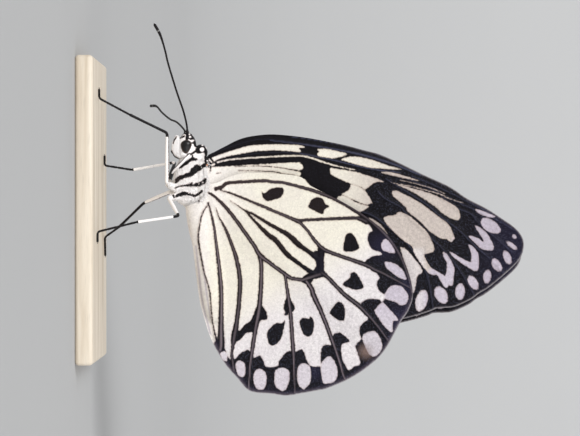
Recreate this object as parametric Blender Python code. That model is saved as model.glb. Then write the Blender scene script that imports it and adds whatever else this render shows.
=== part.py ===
"""A paper kite butterfly, life size, standing on a plain base with its wings closed over its back.

Lengths here are in millimetres. X runs from the head to the tail, Z runs up from the table, and
the butterfly's left side is at minus Y. The origin is the middle of the base's underside.
"""

import math

import bmesh
import bpy
import numpy as np
from mathutils import Vector, geometry

MM = 0.001
LEFT, RIGHT = -1, 1
SIDES = {"left": LEFT, "right": RIGHT}
GAP = 0.3  # kept between pieces that touch

BASE_LENGTH, BASE_WIDTH, BASE_THICKNESS = 60.0, 40.0, 3.5
BASE_EDGE = 0.8
FOOT_LEVEL = BASE_THICKNESS + GAP

# Sections of the body: place along X, height of the middle, half height, half width
THORAX = (
    (-11.5, 22.9, 1.4, 1.2),
    (-10.6, 22.7, 2.7, 1.9),
    (-9.1, 22.4, 3.4, 2.3),
    (-7.1, 22.0, 3.8, 2.6),
    (-5.2, 21.9, 3.8, 2.6),
    (-3.5, 21.9, 3.6, 2.4),
    (-2.1, 22.4, 2.8, 2.1),
    (-0.95, 22.8, 2.0, 1.75),
)
ABDOMEN = (
    (-0.65, 22.9, 1.8, 1.6),
    (1.0, 23.1, 1.8, 1.65),
    (4.0, 23.7, 1.9, 1.8),
    (8.0, 24.3, 1.9, 1.8),
    (12.0, 25.0, 1.85, 1.75),
    (16.0, 25.7, 1.7, 1.6),
    (19.5, 26.3, 1.4, 1.3),
    (21.6, 26.7, 0.95, 0.9),
    (22.6, 26.9, 0.35, 0.35),
)

HEAD_CENTRE = (-12.9, 0.0, 21.0)
HEAD_SIZE = (2.3, 1.75, 2.05)  # half lengths along X, Y and Z
EYE_CENTRE = (-12.7, 1.35, 20.8)
EYE_SIZE = (1.3, 0.85, 1.05)
COLLAR_CENTRE = (-11.7, 0.0, 23.5)
COLLAR_SIZE = (1.35, 1.6, 1.55)

# Wing outlines and veins lie in the plane of the closed wing, as (back, up) from the wing joint
JOINT_X, JOINT_Z = -6.1, 25.1
MEMBRANE = 0.5
OUTER_RIDGE, INNER_RIDGE = 0.18, 0.1  # how far a vein stands up from each face of the membrane
FORE_PLANE, HIND_PLANE = 0.5, 1.6  # distance of each wing's middle from the butterfly's own middle
HIND_CLOSED = 0.5  # the same, where a hindwing has no forewing inside it
CLOSING_START, SETTLING_START = 0.8, 2.5  # behind the forewing, where the hindwings start to meet
HIND_CLOSING = 7.0  # how far they take to meet
OVER_START, OVER_RISE = -0.4, 1.6  # height from the joint where a hindwing lifts over the forewing's root
FACET_ROOM = 0.12  # a curved sheet's flat triangles come this much nearer to what they cover
WRAP_SHARE, WRAP_FADE = 0.8, 0.45  # share of the body's height that a wing wraps, and how fast it runs off
RIGHT_FORE_TURN = 1.3  # degrees that the right forewing hangs lower than the left one

FOREWING_FRONT = (
    (-4.9, 0.0), (-6.7, 3.4), (-8.6, 8.4), (-9.1, 13.0), (-8.7, 18.5), (-7.3, 25.5), (-5.2, 33.5),
    (-2.4, 40.5), (1.3, 48.2), (5.6, 55.5), (9.5, 61.2), (12.8, 63.1), (15.8, 62.4), (19.8, 58.4),
    (23.9, 52.6), (25.6, 47.6), (26.4, 43.2), (27.8, 38.8), (28.5, 35.8), (27.6, 33.2),
)
FOREWING_REAR = ((27.6, 33.2), (20.0, 24.9), (11.8, 15.2), (5.0, 7.4), (1.4, 2.4), (-0.3, -0.1))
FOREWING_ROOT = ((-0.3, -0.1), (-2.5, -0.7), (-4.9, 0.0))
HINDWING_FRONT = (
    (0.9, -0.2), (0.6, 1.8), (-0.6, 4.4), (-1.4, 7.6), (-1.4, 12.4), (-0.6, 18.0), (1.0, 20.6),
    (2.6, 23.2), (4.9, 27.8), (7.8, 32.2), (11.6, 36.4), (17.0, 39.6), (22.6, 41.0), (27.0, 39.9),
    (33.4, 35.8), (37.2, 32.2), (40.6, 26.6), (42.6, 20.0), (43.1, 15.0), (42.6, 9.8), (41.4, 7.2),
    (37.6, 4.4), (33.8, 1.7),
)
HINDWING_REAR = (
    (33.8, 1.7), (27.4, -0.8), (24.0, -1.8), (16.6, -2.8), (11.2, -3.5), (8.2, -4.1), (5.3, -4.4),
)
HINDWING_ROOT = ((5.3, -4.4), (4.4, -2.0), (3.2, -0.6), (0.9, -0.2))

FOREWING_VEINS = {
    "subcosta": ((-4.4, 1.0), (-6.2, 3.8), (-8.0, 8.4), (-8.3, 16.0), (-6.8, 24.0), (-4.8, 31.6),
                 (-2.0, 39.0)),
    "radius": ((-3.4, 1.2), (-4.0, 5.4), (-4.6, 16.0), (-3.6, 22.4), (-2.0, 29.4), (1.0, 37.4), (4.7, 43.4),
               (10.0, 49.7), (14.8, 55.0), (18.6, 58.8)),
    "radius_2": ((-2.0, 29.4), (-1.2, 36.0), (2.4, 46.0), (6.4, 53.6), (12.6, 62.0)),
    "media_2": ((2.2, 34.2), (5.2, 38.8), (11.5, 44.8), (16.3, 48.9), (20.6, 52.0), (23.6, 53.4)),
    "cell_end": ((-0.8, 33.0), (2.2, 34.2), (5.0, 34.2), (6.8, 32.9)),
    "cubitus": ((-1.4, 1.0), (-1.2, 7.4), (-0.4, 14.4), (0.9, 20.0), (3.4, 26.4), (6.8, 32.9), (11.7, 38.5),
                (16.8, 42.6), (21.6, 44.5), (25.8, 46.0)),
    "cubitus_2": ((4.6, 28.9), (8.4, 32.4), (12.6, 35.4), (17.6, 37.6), (23.0, 38.9), (27.4, 39.8)),
    "cubitus_3": ((1.9, 22.8), (7.0, 27.4), (12.6, 30.6), (19.0, 33.2), (27.8, 36.0)),
    "anal": ((-0.7, 1.2), (1.6, 6.0), (5.4, 11.4), (11.6, 18.6), (19.0, 26.8), (25.6, 33.2)),
}
HINDWING_VEINS = {
    "subcosta": ((1.9, 1.6), (0.6, 5.6), (0.4, 10.8), (1.4, 18.5), (4.4, 26.2), (7.8, 31.2), (12.6, 36.2),
                 (17.4, 38.6), (21.6, 40.2)),
    "radius": ((2.1, 2.8), (4.4, 9.1), (7.8, 17.5), (10.9, 20.6), (13.4, 22.5), (16.8, 31.1), (20.8, 38.6)),
    "radius_2": ((7.8, 17.5), (7.9, 22.4), (7.3, 28.0), (7.8, 31.2)),
    "cell_end": ((13.4, 22.5), (18.6, 22.7), (20.0, 20.2)),
    "media_2": ((18.6, 22.7), (21.0, 25.1), (25.5, 30.6), (29.6, 34.3), (31.8, 36.4)),
    "cubitus": ((2.5, 0.3), (5.4, 3.6), (11.3, 8.0), (15.3, 10.6), (19.0, 15.4), (20.0, 20.2), (23.0, 21.1),
                (30.0, 24.1), (36.1, 26.4), (39.6, 27.5)),
    "cubitus_2": ((19.0, 15.4), (24.7, 16.2), (31.2, 16.9), (42.0, 17.3)),
    "cubitus_3": ((15.3, 10.6), (21.7, 10.5), (27.4, 9.9), (34.7, 8.7), (41.2, 8.2)),
    "anal": ((5.6, 1.7), (10.3, 3.8), (16.3, 5.7), (22.0, 6.4), (27.8, 5.9), (33.4, 5.1), (37.6, 4.9)),
    "anal_2": ((4.6, -0.1), (9.2, 1.1), (17.2, 2.0), (24.9, 2.6), (32.8, 2.2)),
}
VEIN_HALF_WIDTH, VEIN_TIP_SHARE = 0.55, 0.6  # a vein's half width at its root, and the share left at its tip
OUTLINE_STEP, VEIN_STEP = 2.4, 2.6
VEIN_CLEARANCE, FOOT_CLEARANCE = 0.9, 0.42  # nearer points than this on a vein, or at a ridge's foot, are one
FOOT_SHARE = 0.8  # a ridge's foot is kept at least this share of its half width from every vein
FILL_STEP, FILL_CLEARANCE = 4.5, 2.2  # a lattice of points fills the wide cells
FOLD_HEIGHTS = (-2.4, -1.5, -0.5, 0.5, 1.5, 2.5, 3.8, 5.2)  # lines along the body where a wing bends round it
FOLD_STEP, FOLD_CLEARANCE = 1.8, 0.8

# Legs from the hip: (x, y, z) of each corner, for the side where the leg is; y grows outward
MID_LEG_LEFT = ((-4.6, 1.5, 17.6), (-5.4, 1.7, 17.0), (-15.4, 3.6, 17.1), (-19.0, 4.6, 9.7),
                (-22.2, 5.2, 4.05), (-24.0, 5.6, 4.05))
MID_LEG_RIGHT = ((-5.2, 1.6, 17.7), (-5.8, 2.3, 17.2), (-9.8, 9.3, 18.1), (-8.3, 10.0, 9.4),
                 (-9.2, 10.3, 4.05), (-11.2, 10.6, 4.05))
HIND_LEG_LEFT = ((-3.0, 1.5, 17.9), (-2.4, 2.2, 17.4), (1.1, 9.0, 19.6), (2.3, 9.6, 11.4),
                 (4.2, 9.9, 4.05), (6.2, 10.1, 4.05))
HIND_LEG_RIGHT = ((-3.6, 1.5, 17.9), (-3.8, 2.1, 17.6), (-1.5, 7.6, 11.8), (3.4, 10.4, 6.6),
                  (5.4, 11.4, 4.05), (9.2, 12.6, 4.05))
LEGS = {
    "mid_leg_left": MID_LEG_LEFT,
    "mid_leg_right": MID_LEG_RIGHT,
    "hind_leg_left": HIND_LEG_LEFT,
    "hind_leg_right": HIND_LEG_RIGHT,
}
# Where each leg leaves the thorax, inside it, for its coxa
COXA_START = {"mid": (-4.2, 1.0, 20.0), "hind": (-2.9, 1.0, 20.2)}
COXA_RADIUS = 0.75
FEMUR_RADIUS, TIBIA_RADIUS, TARSUS_RADIUS = 0.46, 0.28, 0.29
BEND = 0.6  # how far from a corner a leg starts to turn
LEG_LINE_STEP, FEMUR_STEP, TIBIA_STEP, TARSUS_STEP = 0.05, 1.3, 1.1, 0.62
TARSUS_SEGMENTS = 5

FOLDED_LEG = ((-10.7, 2.15, 21.1), (-9.4, 2.3, 19.8), (-8.1, 1.9, 18.3))
FOLDED_LEG_RADIUS = 0.32
ANTENNA_LEFT = ((-15.35, 0.6, 21.0), (-17.2, 0.8, 20.85), (-19.9, 1.1, 20.2), (-23.1, 1.5, 19.1),
                (-26.0, 2.0, 18.2), (-29.4, 2.5, 17.2), (-32.0, 2.9, 16.6), (-34.9, 3.3, 15.7),
                (-37.1, 3.6, 14.5))
ANTENNA_RIGHT = ((-15.3, 0.6, 20.6), (-16.3, 1.5, 20.2), (-17.8, 5.0, 18.7), (-18.6, 8.5, 17.1),
                 (-20.1, 13.0, 15.3), (-21.5, 16.5, 14.0), (-21.7, 19.2, 12.6))
ANTENNA_RADIUS, CLUB_RADIUS, CLUB_SHARE = 0.25, 0.4, 0.16
PALP = ((-10.6, 1.0, 19.5), (-11.6, 0.98, 18.75), (-12.9, 0.9, 18.6), (-14.0, 0.8, 18.9), (-14.9, 0.72, 19.5))
PALP_DEPTHS, PALP_WIDTH = (0.35, 0.62, 0.78, 0.66, 0.25), 0.42
COIL_CENTRE, COIL_RADIUS, COIL_PITCH, COIL_TURNS = (-11.9, 0.0, 18.15), 0.48, 0.5, 0.9
COIL_TUBE = 0.2

WHITE = (0.80, 0.77, 0.74)
CREAM = (0.84, 0.81, 0.70)
BLACK = (0.014, 0.012, 0.016)
WOOD = (0.52, 0.38, 0.24)


def material(name, colour, roughness):
    made = bpy.data.materials.get(name) or bpy.data.materials.new(name)
    made.use_nodes = True
    shader = made.node_tree.nodes["Principled BSDF"]
    shader.inputs["Base Color"].default_value = (*colour, 1.0)
    shader.inputs["Roughness"].default_value = roughness
    shader.inputs["Metallic"].default_value = 0.0
    return made


def collection(name):
    made = bpy.data.collections.new(name)
    bpy.context.scene.collection.children.link(made)
    return made


def add_object(name, data, group, look=None):
    made = bpy.data.objects.new(name, data)
    group.objects.link(made)
    if look:
        data.materials.append(look)
    return made


def mesh_object(name, bm, group, look=None, sharp=40.0):
    """The bmesh, which is in millimetres, as an object in metres."""
    bmesh.ops.recalc_face_normals(bm, faces=bm.faces)
    bmesh.ops.scale(bm, vec=(MM, MM, MM), verts=bm.verts)
    data = bpy.data.meshes.new(name)
    bm.to_mesh(data)
    bm.free()
    data.shade_smooth()
    data.set_sharp_from_angle(angle=math.radians(sharp))
    return add_object(name, data, group, look)


def smooth_line(points, step):
    """Points about a step apart along a smooth curve through these points, from the first to the last."""
    given = np.array(points, float)
    padded = np.vstack([2 * given[0] - given[1], given, 2 * given[-1] - given[-2]])
    fine = []
    for a, b, c, d in zip(padded, padded[1:], padded[2:], padded[3:]):
        t = np.linspace(0, 1, 24, endpoint=False)[:, None]
        square, cube = 2 * a - 5 * b + 4 * c - d, 3 * b - a - 3 * c + d
        fine.append(0.5 * (2 * b + (c - a) * t + square * t**2 + cube * t**3))
    fine = np.vstack([*fine, given[-1:]])
    return evenly(fine, step)


def evenly(fine, step):
    """The same line with its points evenly spaced, as near a step apart as its length allows."""
    along = np.concatenate([[0], np.cumsum(np.linalg.norm(np.diff(fine, axis=0), axis=1))])
    count = max(2, round(along[-1] / step) + 1)
    wanted = np.linspace(0, along[-1], count)
    return np.column_stack([np.interp(wanted, along, column) for column in fine.T])


BODY_LINE = smooth_line(THORAX + ABDOMEN, 0.2)


def body_section(x):
    """Height of the middle, half height and half width of the body at x."""
    return [np.interp(x, BODY_LINE[:, 0], BODY_LINE[:, column]) for column in (1, 2, 3)]


def body_cover(x, z):
    """How far from the middle a sheet lies that wraps the body's side and runs off above and below."""
    clear = GAP + MEMBRANE / 2 + INNER_RIDGE + FACET_ROOM
    middle, half_height, half_width = body_section(x)
    off = np.abs(z - middle) / (half_height + clear)
    wrap = np.sqrt(np.maximum(0, 1 - off**2))
    run_off = math.sqrt(1 - WRAP_SHARE**2) * np.exp((WRAP_SHARE - off) / WRAP_FADE)
    side = np.where(off < WRAP_SHARE, wrap, run_off)
    return (half_width + clear * np.minimum(1, half_width)) * side


def eased(value):
    value = np.clip(value, 0, 1)
    return value * value * (3 - 2 * value)


def larger(a, b):
    """The larger of two distances, with the corner between them rounded."""
    return (a**5 + b**5) ** 0.2


def forewing_y(x, z):
    return larger(FORE_PLANE, body_cover(x, z))


def hindwing_y(x, z):
    back, up = x - JOINT_X, z - JOINT_Z
    rear_back, rear_up = FOREWING_REAR[0]
    length = math.hypot(rear_back, rear_up)
    behind_forewing = (back * rear_up - up * rear_back) / length
    closed = eased((behind_forewing - CLOSING_START) / HIND_CLOSING)
    plane = HIND_PLANE + (HIND_CLOSED - HIND_PLANE) * closed
    over_forewing = (HIND_PLANE - FORE_PLANE) * eased((up - OVER_START) / OVER_RISE)
    over_forewing = over_forewing * (1 - eased((behind_forewing - SETTLING_START) / HIND_CLOSING))
    return larger(plane, body_cover(x, z) + over_forewing)


def wing_points(outline, veins):
    """The wing's flat points with the edges that must stay: outline first, then veins, then filling."""
    points, edges = [], []

    def place(point, near, among=None):
        """The number of the point, or of an earlier one this near."""
        if points:
            away = np.linalg.norm(np.array(points) - point, axis=1)
            best = int(np.argmin(away))
            if away[best] < near:
                return best
        points.append(np.array(point, float))
        return len(points) - 1

    for run in outline:
        points.extend(smooth_line(run, OUTLINE_STEP)[:-1])
    rim = len(points)
    edges += [(i, (i + 1) % rim) for i in range(rim)]
    for line in veins:
        numbers = [place(point, VEIN_CLEARANCE) for point in evenly(line, VEIN_STEP)]
        edges += [(a, b) for a, b in zip(numbers, numbers[1:]) if a != b]
    least = FOOT_SHARE * VEIN_HALF_WIDTH * VEIN_TIP_SHARE
    for line in veins:
        line = evenly(line, VEIN_STEP)
        ahead = np.gradient(line, axis=0)
        ahead /= np.linalg.norm(ahead, axis=1)[:, None]
        across = np.column_stack([-ahead[:, 1], ahead[:, 0]])
        for side in (-1, 1):
            for point in line + side * across * vein_half_widths(len(line))[:, None]:
                if inside(point, points[:rim]) and clear_of(point, veins) > least:
                    place(point, FOOT_CLEARANCE)
    for height in FOLD_HEIGHTS:
        for x in np.arange(BODY_LINE[0, 0], BODY_LINE[-1, 0] + FOLD_STEP, FOLD_STEP):
            point = (x - JOINT_X, body_section(x)[0] + height - JOINT_Z)
            if inside(point, points[:rim]):
                place(point, FOLD_CLEARANCE)
    low, high = np.min(points, axis=0), np.max(points, axis=0)
    for row, back in enumerate(np.arange(low[0], high[0], FILL_STEP * 0.87)):
        for up in np.arange(low[1] + (row % 2) * FILL_STEP / 2, high[1], FILL_STEP):
            if inside((back, up), points[:rim]):
                place((back, up), FILL_CLEARANCE)
    return points, edges, rim


def vein_half_widths(count):
    return VEIN_HALF_WIDTH * np.linspace(1, VEIN_TIP_SHARE, count)


def inside(point, rim):
    """True if the point lies inside the closed line, by counting the sides that a ray crosses."""
    rim = np.asarray(rim)
    a, b = rim, np.roll(rim, -1, axis=0)
    spans = (a[:, 1] > point[1]) != (b[:, 1] > point[1])
    a, b = a[spans], b[spans]
    crossed = a[:, 0] + (point[1] - a[:, 1]) * (b[:, 0] - a[:, 0]) / (b[:, 1] - a[:, 1])
    return np.count_nonzero(crossed > point[0]) % 2 == 1


def line_distance(points, line):
    """How far each point is from the line, and how far along it the nearest place lies, from 0 to 1."""
    points = np.atleast_2d(points)
    a, b = line[:-1], line[1:]
    span = b - a
    share = ((points[:, None] - a) * span).sum(2) / (span**2).sum(1)
    share = np.clip(share, 0, 1)
    away = np.linalg.norm(points[:, None] - (a + share[..., None] * span), axis=2)
    best = np.argmin(away, axis=1)
    rows = np.arange(len(points))
    return away[rows, best], (best + share[rows, best]) / len(a)


def clear_of(point, veins):
    return min(line_distance(point, line)[0][0] for line in veins)


def ridge_share(points, veins):
    """How much of the full ridge each point has: 1 on a vein's middle at its root, 0 beside it."""
    most = np.zeros(len(points))
    for line in veins:
        away, along = line_distance(points, line)
        strength = 1 + (VEIN_TIP_SHARE - 1) * along
        most = np.maximum(most, strength * np.clip(1 - away / (VEIN_HALF_WIDTH * strength), 0, 1))
    return most


def add_wing(name, side, outline, veins, sheet, turn, group, look):
    """A thin vane on the sheet y(x, z), with the same triangles on both faces and its veins raised."""
    veins = [smooth_line(line, 0.5) for line in veins.values()]
    flat, edges, rim = wing_points(outline, veins)
    made = geometry.delaunay_2d_cdt([Vector(p) for p in flat], edges, [tuple(range(rim))], 1, 1e-4)
    flat, triangles = np.array([tuple(p) for p in made[0]]), [tuple(face) for face in made[2]]
    rise = ridge_share(flat, veins)
    angle = math.radians(turn)
    back = flat[:, 0] * math.cos(angle) + flat[:, 1] * math.sin(angle)
    up = flat[:, 1] * math.cos(angle) - flat[:, 0] * math.sin(angle)
    x, z = JOINT_X + back, JOINT_Z + up
    y, nudge = sheet(x, z), 0.05
    normal = np.column_stack([
        (y - sheet(x + nudge, z)) / nudge, np.ones(len(x)), (y - sheet(x, z + nudge)) / nudge])
    normal /= np.linalg.norm(normal, axis=1)[:, None]
    middle = np.column_stack([x, y, z])
    outer = middle + normal * (MEMBRANE / 2 + OUTER_RIDGE * rise)[:, None]
    inner = middle - normal * (MEMBRANE / 2 + INNER_RIDGE * rise)[:, None]
    bm = bmesh.new()
    faces = [[bm.verts.new((px, side * py, pz)) for px, py, pz in cloud] for cloud in (outer, inner)]
    ends = {}
    for triangle in triangles:
        for layer in faces:
            bm.faces.new([layer[i] for i in triangle])
        for a, b in zip(triangle, triangle[1:] + triangle[:1]):
            ends[frozenset((a, b))] = ends.get(frozenset((a, b)), 0) + 1
    for edge, count in ends.items():
        if count == 1:
            a, b = edge
            bm.faces.new([faces[0][a], faces[0][b], faces[1][b]])
            bm.faces.new([faces[0][a], faces[1][b], faces[1][a]])
    return mesh_object(name, bm, group, look, 60.0)


def add_ellipsoid(name, centre, size, group, look=None, segments=24, rings=14):
    bm = bmesh.new()
    bmesh.ops.create_uvsphere(bm, u_segments=segments, v_segments=rings, radius=1.0)
    bmesh.ops.scale(bm, vec=size, verts=bm.verts)
    bmesh.ops.translate(bm, vec=centre, verts=bm.verts)
    return mesh_object(name, bm, group, look)


def add_loft(name, rings, group, look=None, around=20):
    """A closed skin over rings, each a centre with two half axes as vectors."""
    bm = bmesh.new()
    loops = []
    for centre, first, second in rings:
        turns = [2 * math.pi * i / around for i in range(around)]
        loops.append([bm.verts.new(centre + first * math.cos(t) + second * math.sin(t)) for t in turns])
    for near, far in zip(loops, loops[1:]):
        for i in range(around):
            j = (i + 1) % around
            bm.faces.new((near[i], near[j], far[j], far[i]))
    bm.faces.new(loops[0])
    bm.faces.new(loops[-1])
    return mesh_object(name, bm, group, look)


def body_rings(stations, spacing, grow=0.0):
    rings = []
    for x, middle, half_height, half_width in smooth_line(stations, spacing):
        rings.append((
            Vector((x, 0, middle)), Vector((0, half_width + grow, 0)), Vector((0, 0, half_height + grow))))
    return rings


def add_tube(name, points, radii, group, look=None, detail=2):
    """A round bar along these points, with its own radius at each."""
    data = bpy.data.curves.new(name, "CURVE")
    data.dimensions = "3D"
    data.bevel_depth = MM
    data.bevel_resolution = detail
    data.use_fill_caps = True
    spline = data.splines.new("POLY")
    spline.points.add(len(points) - 1)
    for spot, point, radius in zip(spline.points, points, radii):
        spot.co = (*(Vector(point) * MM), 1.0)
        spot.radius = radius
    return add_object(name, data, group, look)


def as_mesh(tube, group):
    """The tube as a mesh object with its caps welded on, in place of the curve."""
    graph = bpy.context.evaluated_depsgraph_get()
    data = bpy.data.meshes.new_from_object(tube.evaluated_get(graph))
    bm = bmesh.new()
    bm.from_mesh(data)
    bmesh.ops.remove_doubles(bm, verts=bm.verts, dist=1e-7)
    bmesh.ops.recalc_face_normals(bm, faces=bm.faces)
    bm.to_mesh(data)
    bm.free()
    name, place = tube.name, tube.matrix_world.copy()
    bpy.data.objects.remove(tube)
    made = add_object(name, data, group)
    made.matrix_world = place
    return made


def as_cutter(cutter):
    cutter.hide_render = True
    cutter.display_type = "WIRE"
    return cutter


def change(piece, operation, other):
    step = piece.modifiers.new(operation.title(), "BOOLEAN")
    step.operation = operation
    step.object = other
    step.solver = "EXACT"


def mirrored(point, side):
    return (point[0], side * point[1], point[2])


def bent_line(corners, bend, step):
    """A line through these corners with each corner rounded from this far on both sides."""
    corners = [np.array(corner, float) for corner in corners]
    fine = [corners[0]]
    for before, corner, after in zip(corners, corners[1:], corners[2:]):
        into, out = before - corner, after - corner
        reach = min(bend, 0.45 * np.linalg.norm(into), 0.45 * np.linalg.norm(out))
        start = corner + reach * into / np.linalg.norm(into)
        end = corner + reach * out / np.linalg.norm(out)
        for t in np.linspace(0, 1, 7):
            fine.append((1 - t) ** 2 * start + 2 * t * (1 - t) * corner + t**2 * end)
    fine.append(corners[-1])
    return evenly(np.array(fine), step)


def stretch(line, start, end, step):
    """The part of a line between two distances along it."""
    along = np.concatenate([[0], np.cumsum(np.linalg.norm(np.diff(line, axis=0), axis=1))])
    count = max(3, round((end - start) / step) + 1)
    wanted = np.linspace(start, end, count)
    return np.column_stack([np.interp(wanted, along, column) for column in line.T])


def distance_along(line, corner):
    """How far along the line it passes nearest to a corner."""
    along = np.concatenate([[0], np.cumsum(np.linalg.norm(np.diff(line, axis=0), axis=1))])
    return along[np.argmin(np.linalg.norm(line - np.array(corner), axis=1))]


def femur_radii(count):
    s = np.linspace(0, 1, count)
    return FEMUR_RADIUS * (0.8 + 0.25 * np.sin(np.pi * np.minimum(1, s * 1.15)))


def tibia_radii(count):
    s = np.linspace(0, 1, count)
    return TIBIA_RADIUS * (1.1 - 0.15 * np.sin(np.pi * s))


def tarsus_radii(count):
    s = np.linspace(0, 1, count)
    waist = np.abs(np.sin(np.pi * TARSUS_SEGMENTS * s)) ** 0.5
    return TARSUS_RADIUS * (0.86 + 0.14 * waist)


def add_leg(name, corners, side, group, cutters, white, black):
    """Femur, tibia and tarsus, parted at the knee and the ankle."""
    corners = [mirrored(corner, side) for corner in corners]
    line = bent_line(corners, BEND, LEG_LINE_STEP)
    knee, ankle = distance_along(line, corners[2]), distance_along(line, corners[3])
    end = distance_along(line, corners[-1])
    start = distance_along(line, corners[1]) / 2
    pieces = (
        ("femur", start, knee - GAP / 2, FEMUR_STEP, femur_radii, white),
        ("tibia", knee + GAP / 2, ankle - GAP / 2, TIBIA_STEP, tibia_radii, white),
        ("tarsus", ankle + GAP / 2, end, TARSUS_STEP, tarsus_radii, black),
    )
    for part, first, last, step, radii, look in pieces:
        points = stretch(line, first, last, step)
        tube = add_tube(f"{name}_{part}", points, radii(len(points)), group, look)
        if part == "tarsus":
            tube = as_mesh(tube, group)
            change(tube, "DIFFERENCE", cutters["floor"])


def add_antenna(name, points, side, group, look):
    line = smooth_line([mirrored(point, side) for point in points], 1.5)
    s = np.linspace(0, 1, len(line))
    club = eased((s - (1 - CLUB_SHARE)) / (CLUB_SHARE * 0.7))
    radii = ANTENNA_RADIUS + (CLUB_RADIUS - ANTENNA_RADIUS) * club
    radii[-1] *= 0.6
    return add_tube(name, line, radii, group, look)


def add_palp(name, side, group, look, head_room):
    rings = []
    line = smooth_line([mirrored(point, side) for point in PALP], 0.7)
    depths = np.interp(np.linspace(0, 1, len(line)), np.linspace(0, 1, len(PALP_DEPTHS)), PALP_DEPTHS)
    for point, ahead, depth in zip(line, np.gradient(line, axis=0), depths):
        ahead = Vector(ahead).normalized()
        across = ahead.cross(Vector((0, 1, 0))).normalized()
        width = min(PALP_WIDTH, depth * 0.9)
        rings.append((Vector(point), across * depth, Vector((0, width, 0))))
    palp = add_loft(name, rings, group, look, 12)
    change(palp, "DIFFERENCE", head_room)
    return palp


def add_coil(group, look):
    """The tongue, rolled up like a watch spring."""
    turns = np.linspace(0, 2 * math.pi * COIL_TURNS, 30)
    x, y, z = COIL_CENTRE
    points = []
    for turn in turns:
        radius = COIL_RADIUS - COIL_PITCH * turn / (2 * math.pi)
        points.append((x + radius * math.sin(turn), y, z + radius * math.cos(turn)))
    return add_tube("tongue", points, [COIL_TUBE] * len(points), group, look, 1)


def add_base(group, look):
    bm = bmesh.new()
    bmesh.ops.create_cube(bm, size=1.0)
    bmesh.ops.scale(bm, vec=(BASE_LENGTH, BASE_WIDTH, BASE_THICKNESS), verts=bm.verts)
    bmesh.ops.translate(bm, vec=(0, 0, BASE_THICKNESS / 2), verts=bm.verts)
    bmesh.ops.bevel(bm, geom=bm.edges[:], offset=BASE_EDGE, segments=2, profile=0.5, affect="EDGES")
    return mesh_object("stand_base", bm, group, look)


def add_floor_cutter(group):
    """A block that ends at the level where the feet rest."""
    bm = bmesh.new()
    bmesh.ops.create_cube(bm, size=1.0)
    bmesh.ops.scale(bm, vec=(BASE_LENGTH, BASE_WIDTH, 2.0), verts=bm.verts)
    bmesh.ops.translate(bm, vec=(0, 0, FOOT_LEVEL - 1.0), verts=bm.verts)
    return as_cutter(mesh_object("floor_room", bm, group))


def grown(size):
    return tuple(half + GAP for half in size)


def add_coxa(name, start, hip, side, group):
    """The root of a leg, from inside the thorax to the hip."""
    first, last = (Vector(mirrored(point, side)) for point in (start, hip))
    points = [first.lerp(last, share) for share in (0.0, 0.35, 0.7, 1.0)]
    radii = [COXA_RADIUS * share for share in (1.0, 1.05, 0.95, 0.6)]
    return as_cutter(as_mesh(add_tube(name, points, radii, group), group))


def add_thorax(group, cutters, look):
    thorax = add_loft("thorax", body_rings(THORAX, 0.85), group, look)
    change(thorax, "DIFFERENCE", cutters["head"])
    for leg, corners in LEGS.items():
        pair, side = leg.split("_")[0], SIDES[leg.split("_")[2]]
        coxa = add_coxa(f"coxa_{leg}", COXA_START[pair], corners[0], side, cutters["group"])
        change(thorax, "UNION", coxa)
    return thorax


def add_head(group, cutters, looks):
    head = add_ellipsoid("head", HEAD_CENTRE, HEAD_SIZE, group, looks["white"])
    for name, side in SIDES.items():
        eye_centre = mirrored(EYE_CENTRE, side)
        add_ellipsoid(f"eye_{name}", eye_centre, EYE_SIZE, group, looks["black"], 16, 10)
        room = as_cutter(add_ellipsoid(f"eye_room_{name}", eye_centre, grown(EYE_SIZE), cutters["group"]))
        change(head, "DIFFERENCE", room)
        add_palp(f"palp_{name}", side, group, looks["white"], cutters["head"])
    add_antenna("antenna_left", ANTENNA_LEFT, LEFT, group, looks["black"])
    add_antenna("antenna_right", ANTENNA_RIGHT, RIGHT, group, looks["black"])
    add_coil(group, looks["black"])
    collar = add_ellipsoid("prothorax", COLLAR_CENTRE, COLLAR_SIZE, group, looks["black"], 20, 12)
    change(collar, "DIFFERENCE", cutters["head"])
    change(collar, "DIFFERENCE", cutters["thorax"])


def add_wings(group, look):
    fore = (FOREWING_FRONT, FOREWING_REAR, FOREWING_ROOT)
    hind = (HINDWING_FRONT, HINDWING_REAR, HINDWING_ROOT)
    for name, side in SIDES.items():
        turn = RIGHT_FORE_TURN if side == RIGHT else 0.0
        add_wing(f"forewing_{name}", side, fore, FOREWING_VEINS, forewing_y, turn, group, look)
        add_wing(f"hindwing_{name}", side, hind, HINDWING_VEINS, hindwing_y, 0.0, group, look)


def main():
    for old in list(bpy.data.objects):
        bpy.data.objects.remove(old)
    group, cutter_group = collection("Paper kite butterfly"), collection("Cutters")
    looks = {
        "white": material("White scales", WHITE, 0.6),
        "cream": material("Cream wing", CREAM, 0.55),
        "black": material("Black scales", BLACK, 0.5),
        "wood": material("Pale wood", WOOD, 0.5),
    }
    cutters = {
        "group": cutter_group,
        "floor": add_floor_cutter(cutter_group),
        "head": as_cutter(add_ellipsoid("head_room", HEAD_CENTRE, grown(HEAD_SIZE), cutter_group)),
        "thorax": as_cutter(add_loft("thorax_room", body_rings(THORAX, 0.85, GAP), cutter_group)),
    }
    add_base(group, looks["wood"])
    add_thorax(group, cutters, looks["white"])
    add_loft("abdomen", body_rings(ABDOMEN, 1.6), group, looks["white"])
    add_head(group, cutters, looks)
    for name, side in SIDES.items():
        line = smooth_line([mirrored(point, side) for point in FOLDED_LEG], 0.7)
        add_tube(f"foreleg_{name}", line, [FOLDED_LEG_RADIUS] * len(line), group, looks["white"])
    for name, corners in LEGS.items():
        side = SIDES[name.split("_")[2]]
        add_leg(name, corners, side, group, cutters, looks["white"], looks["black"])
    add_wings(group, looks["cream"])


main()
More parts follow.
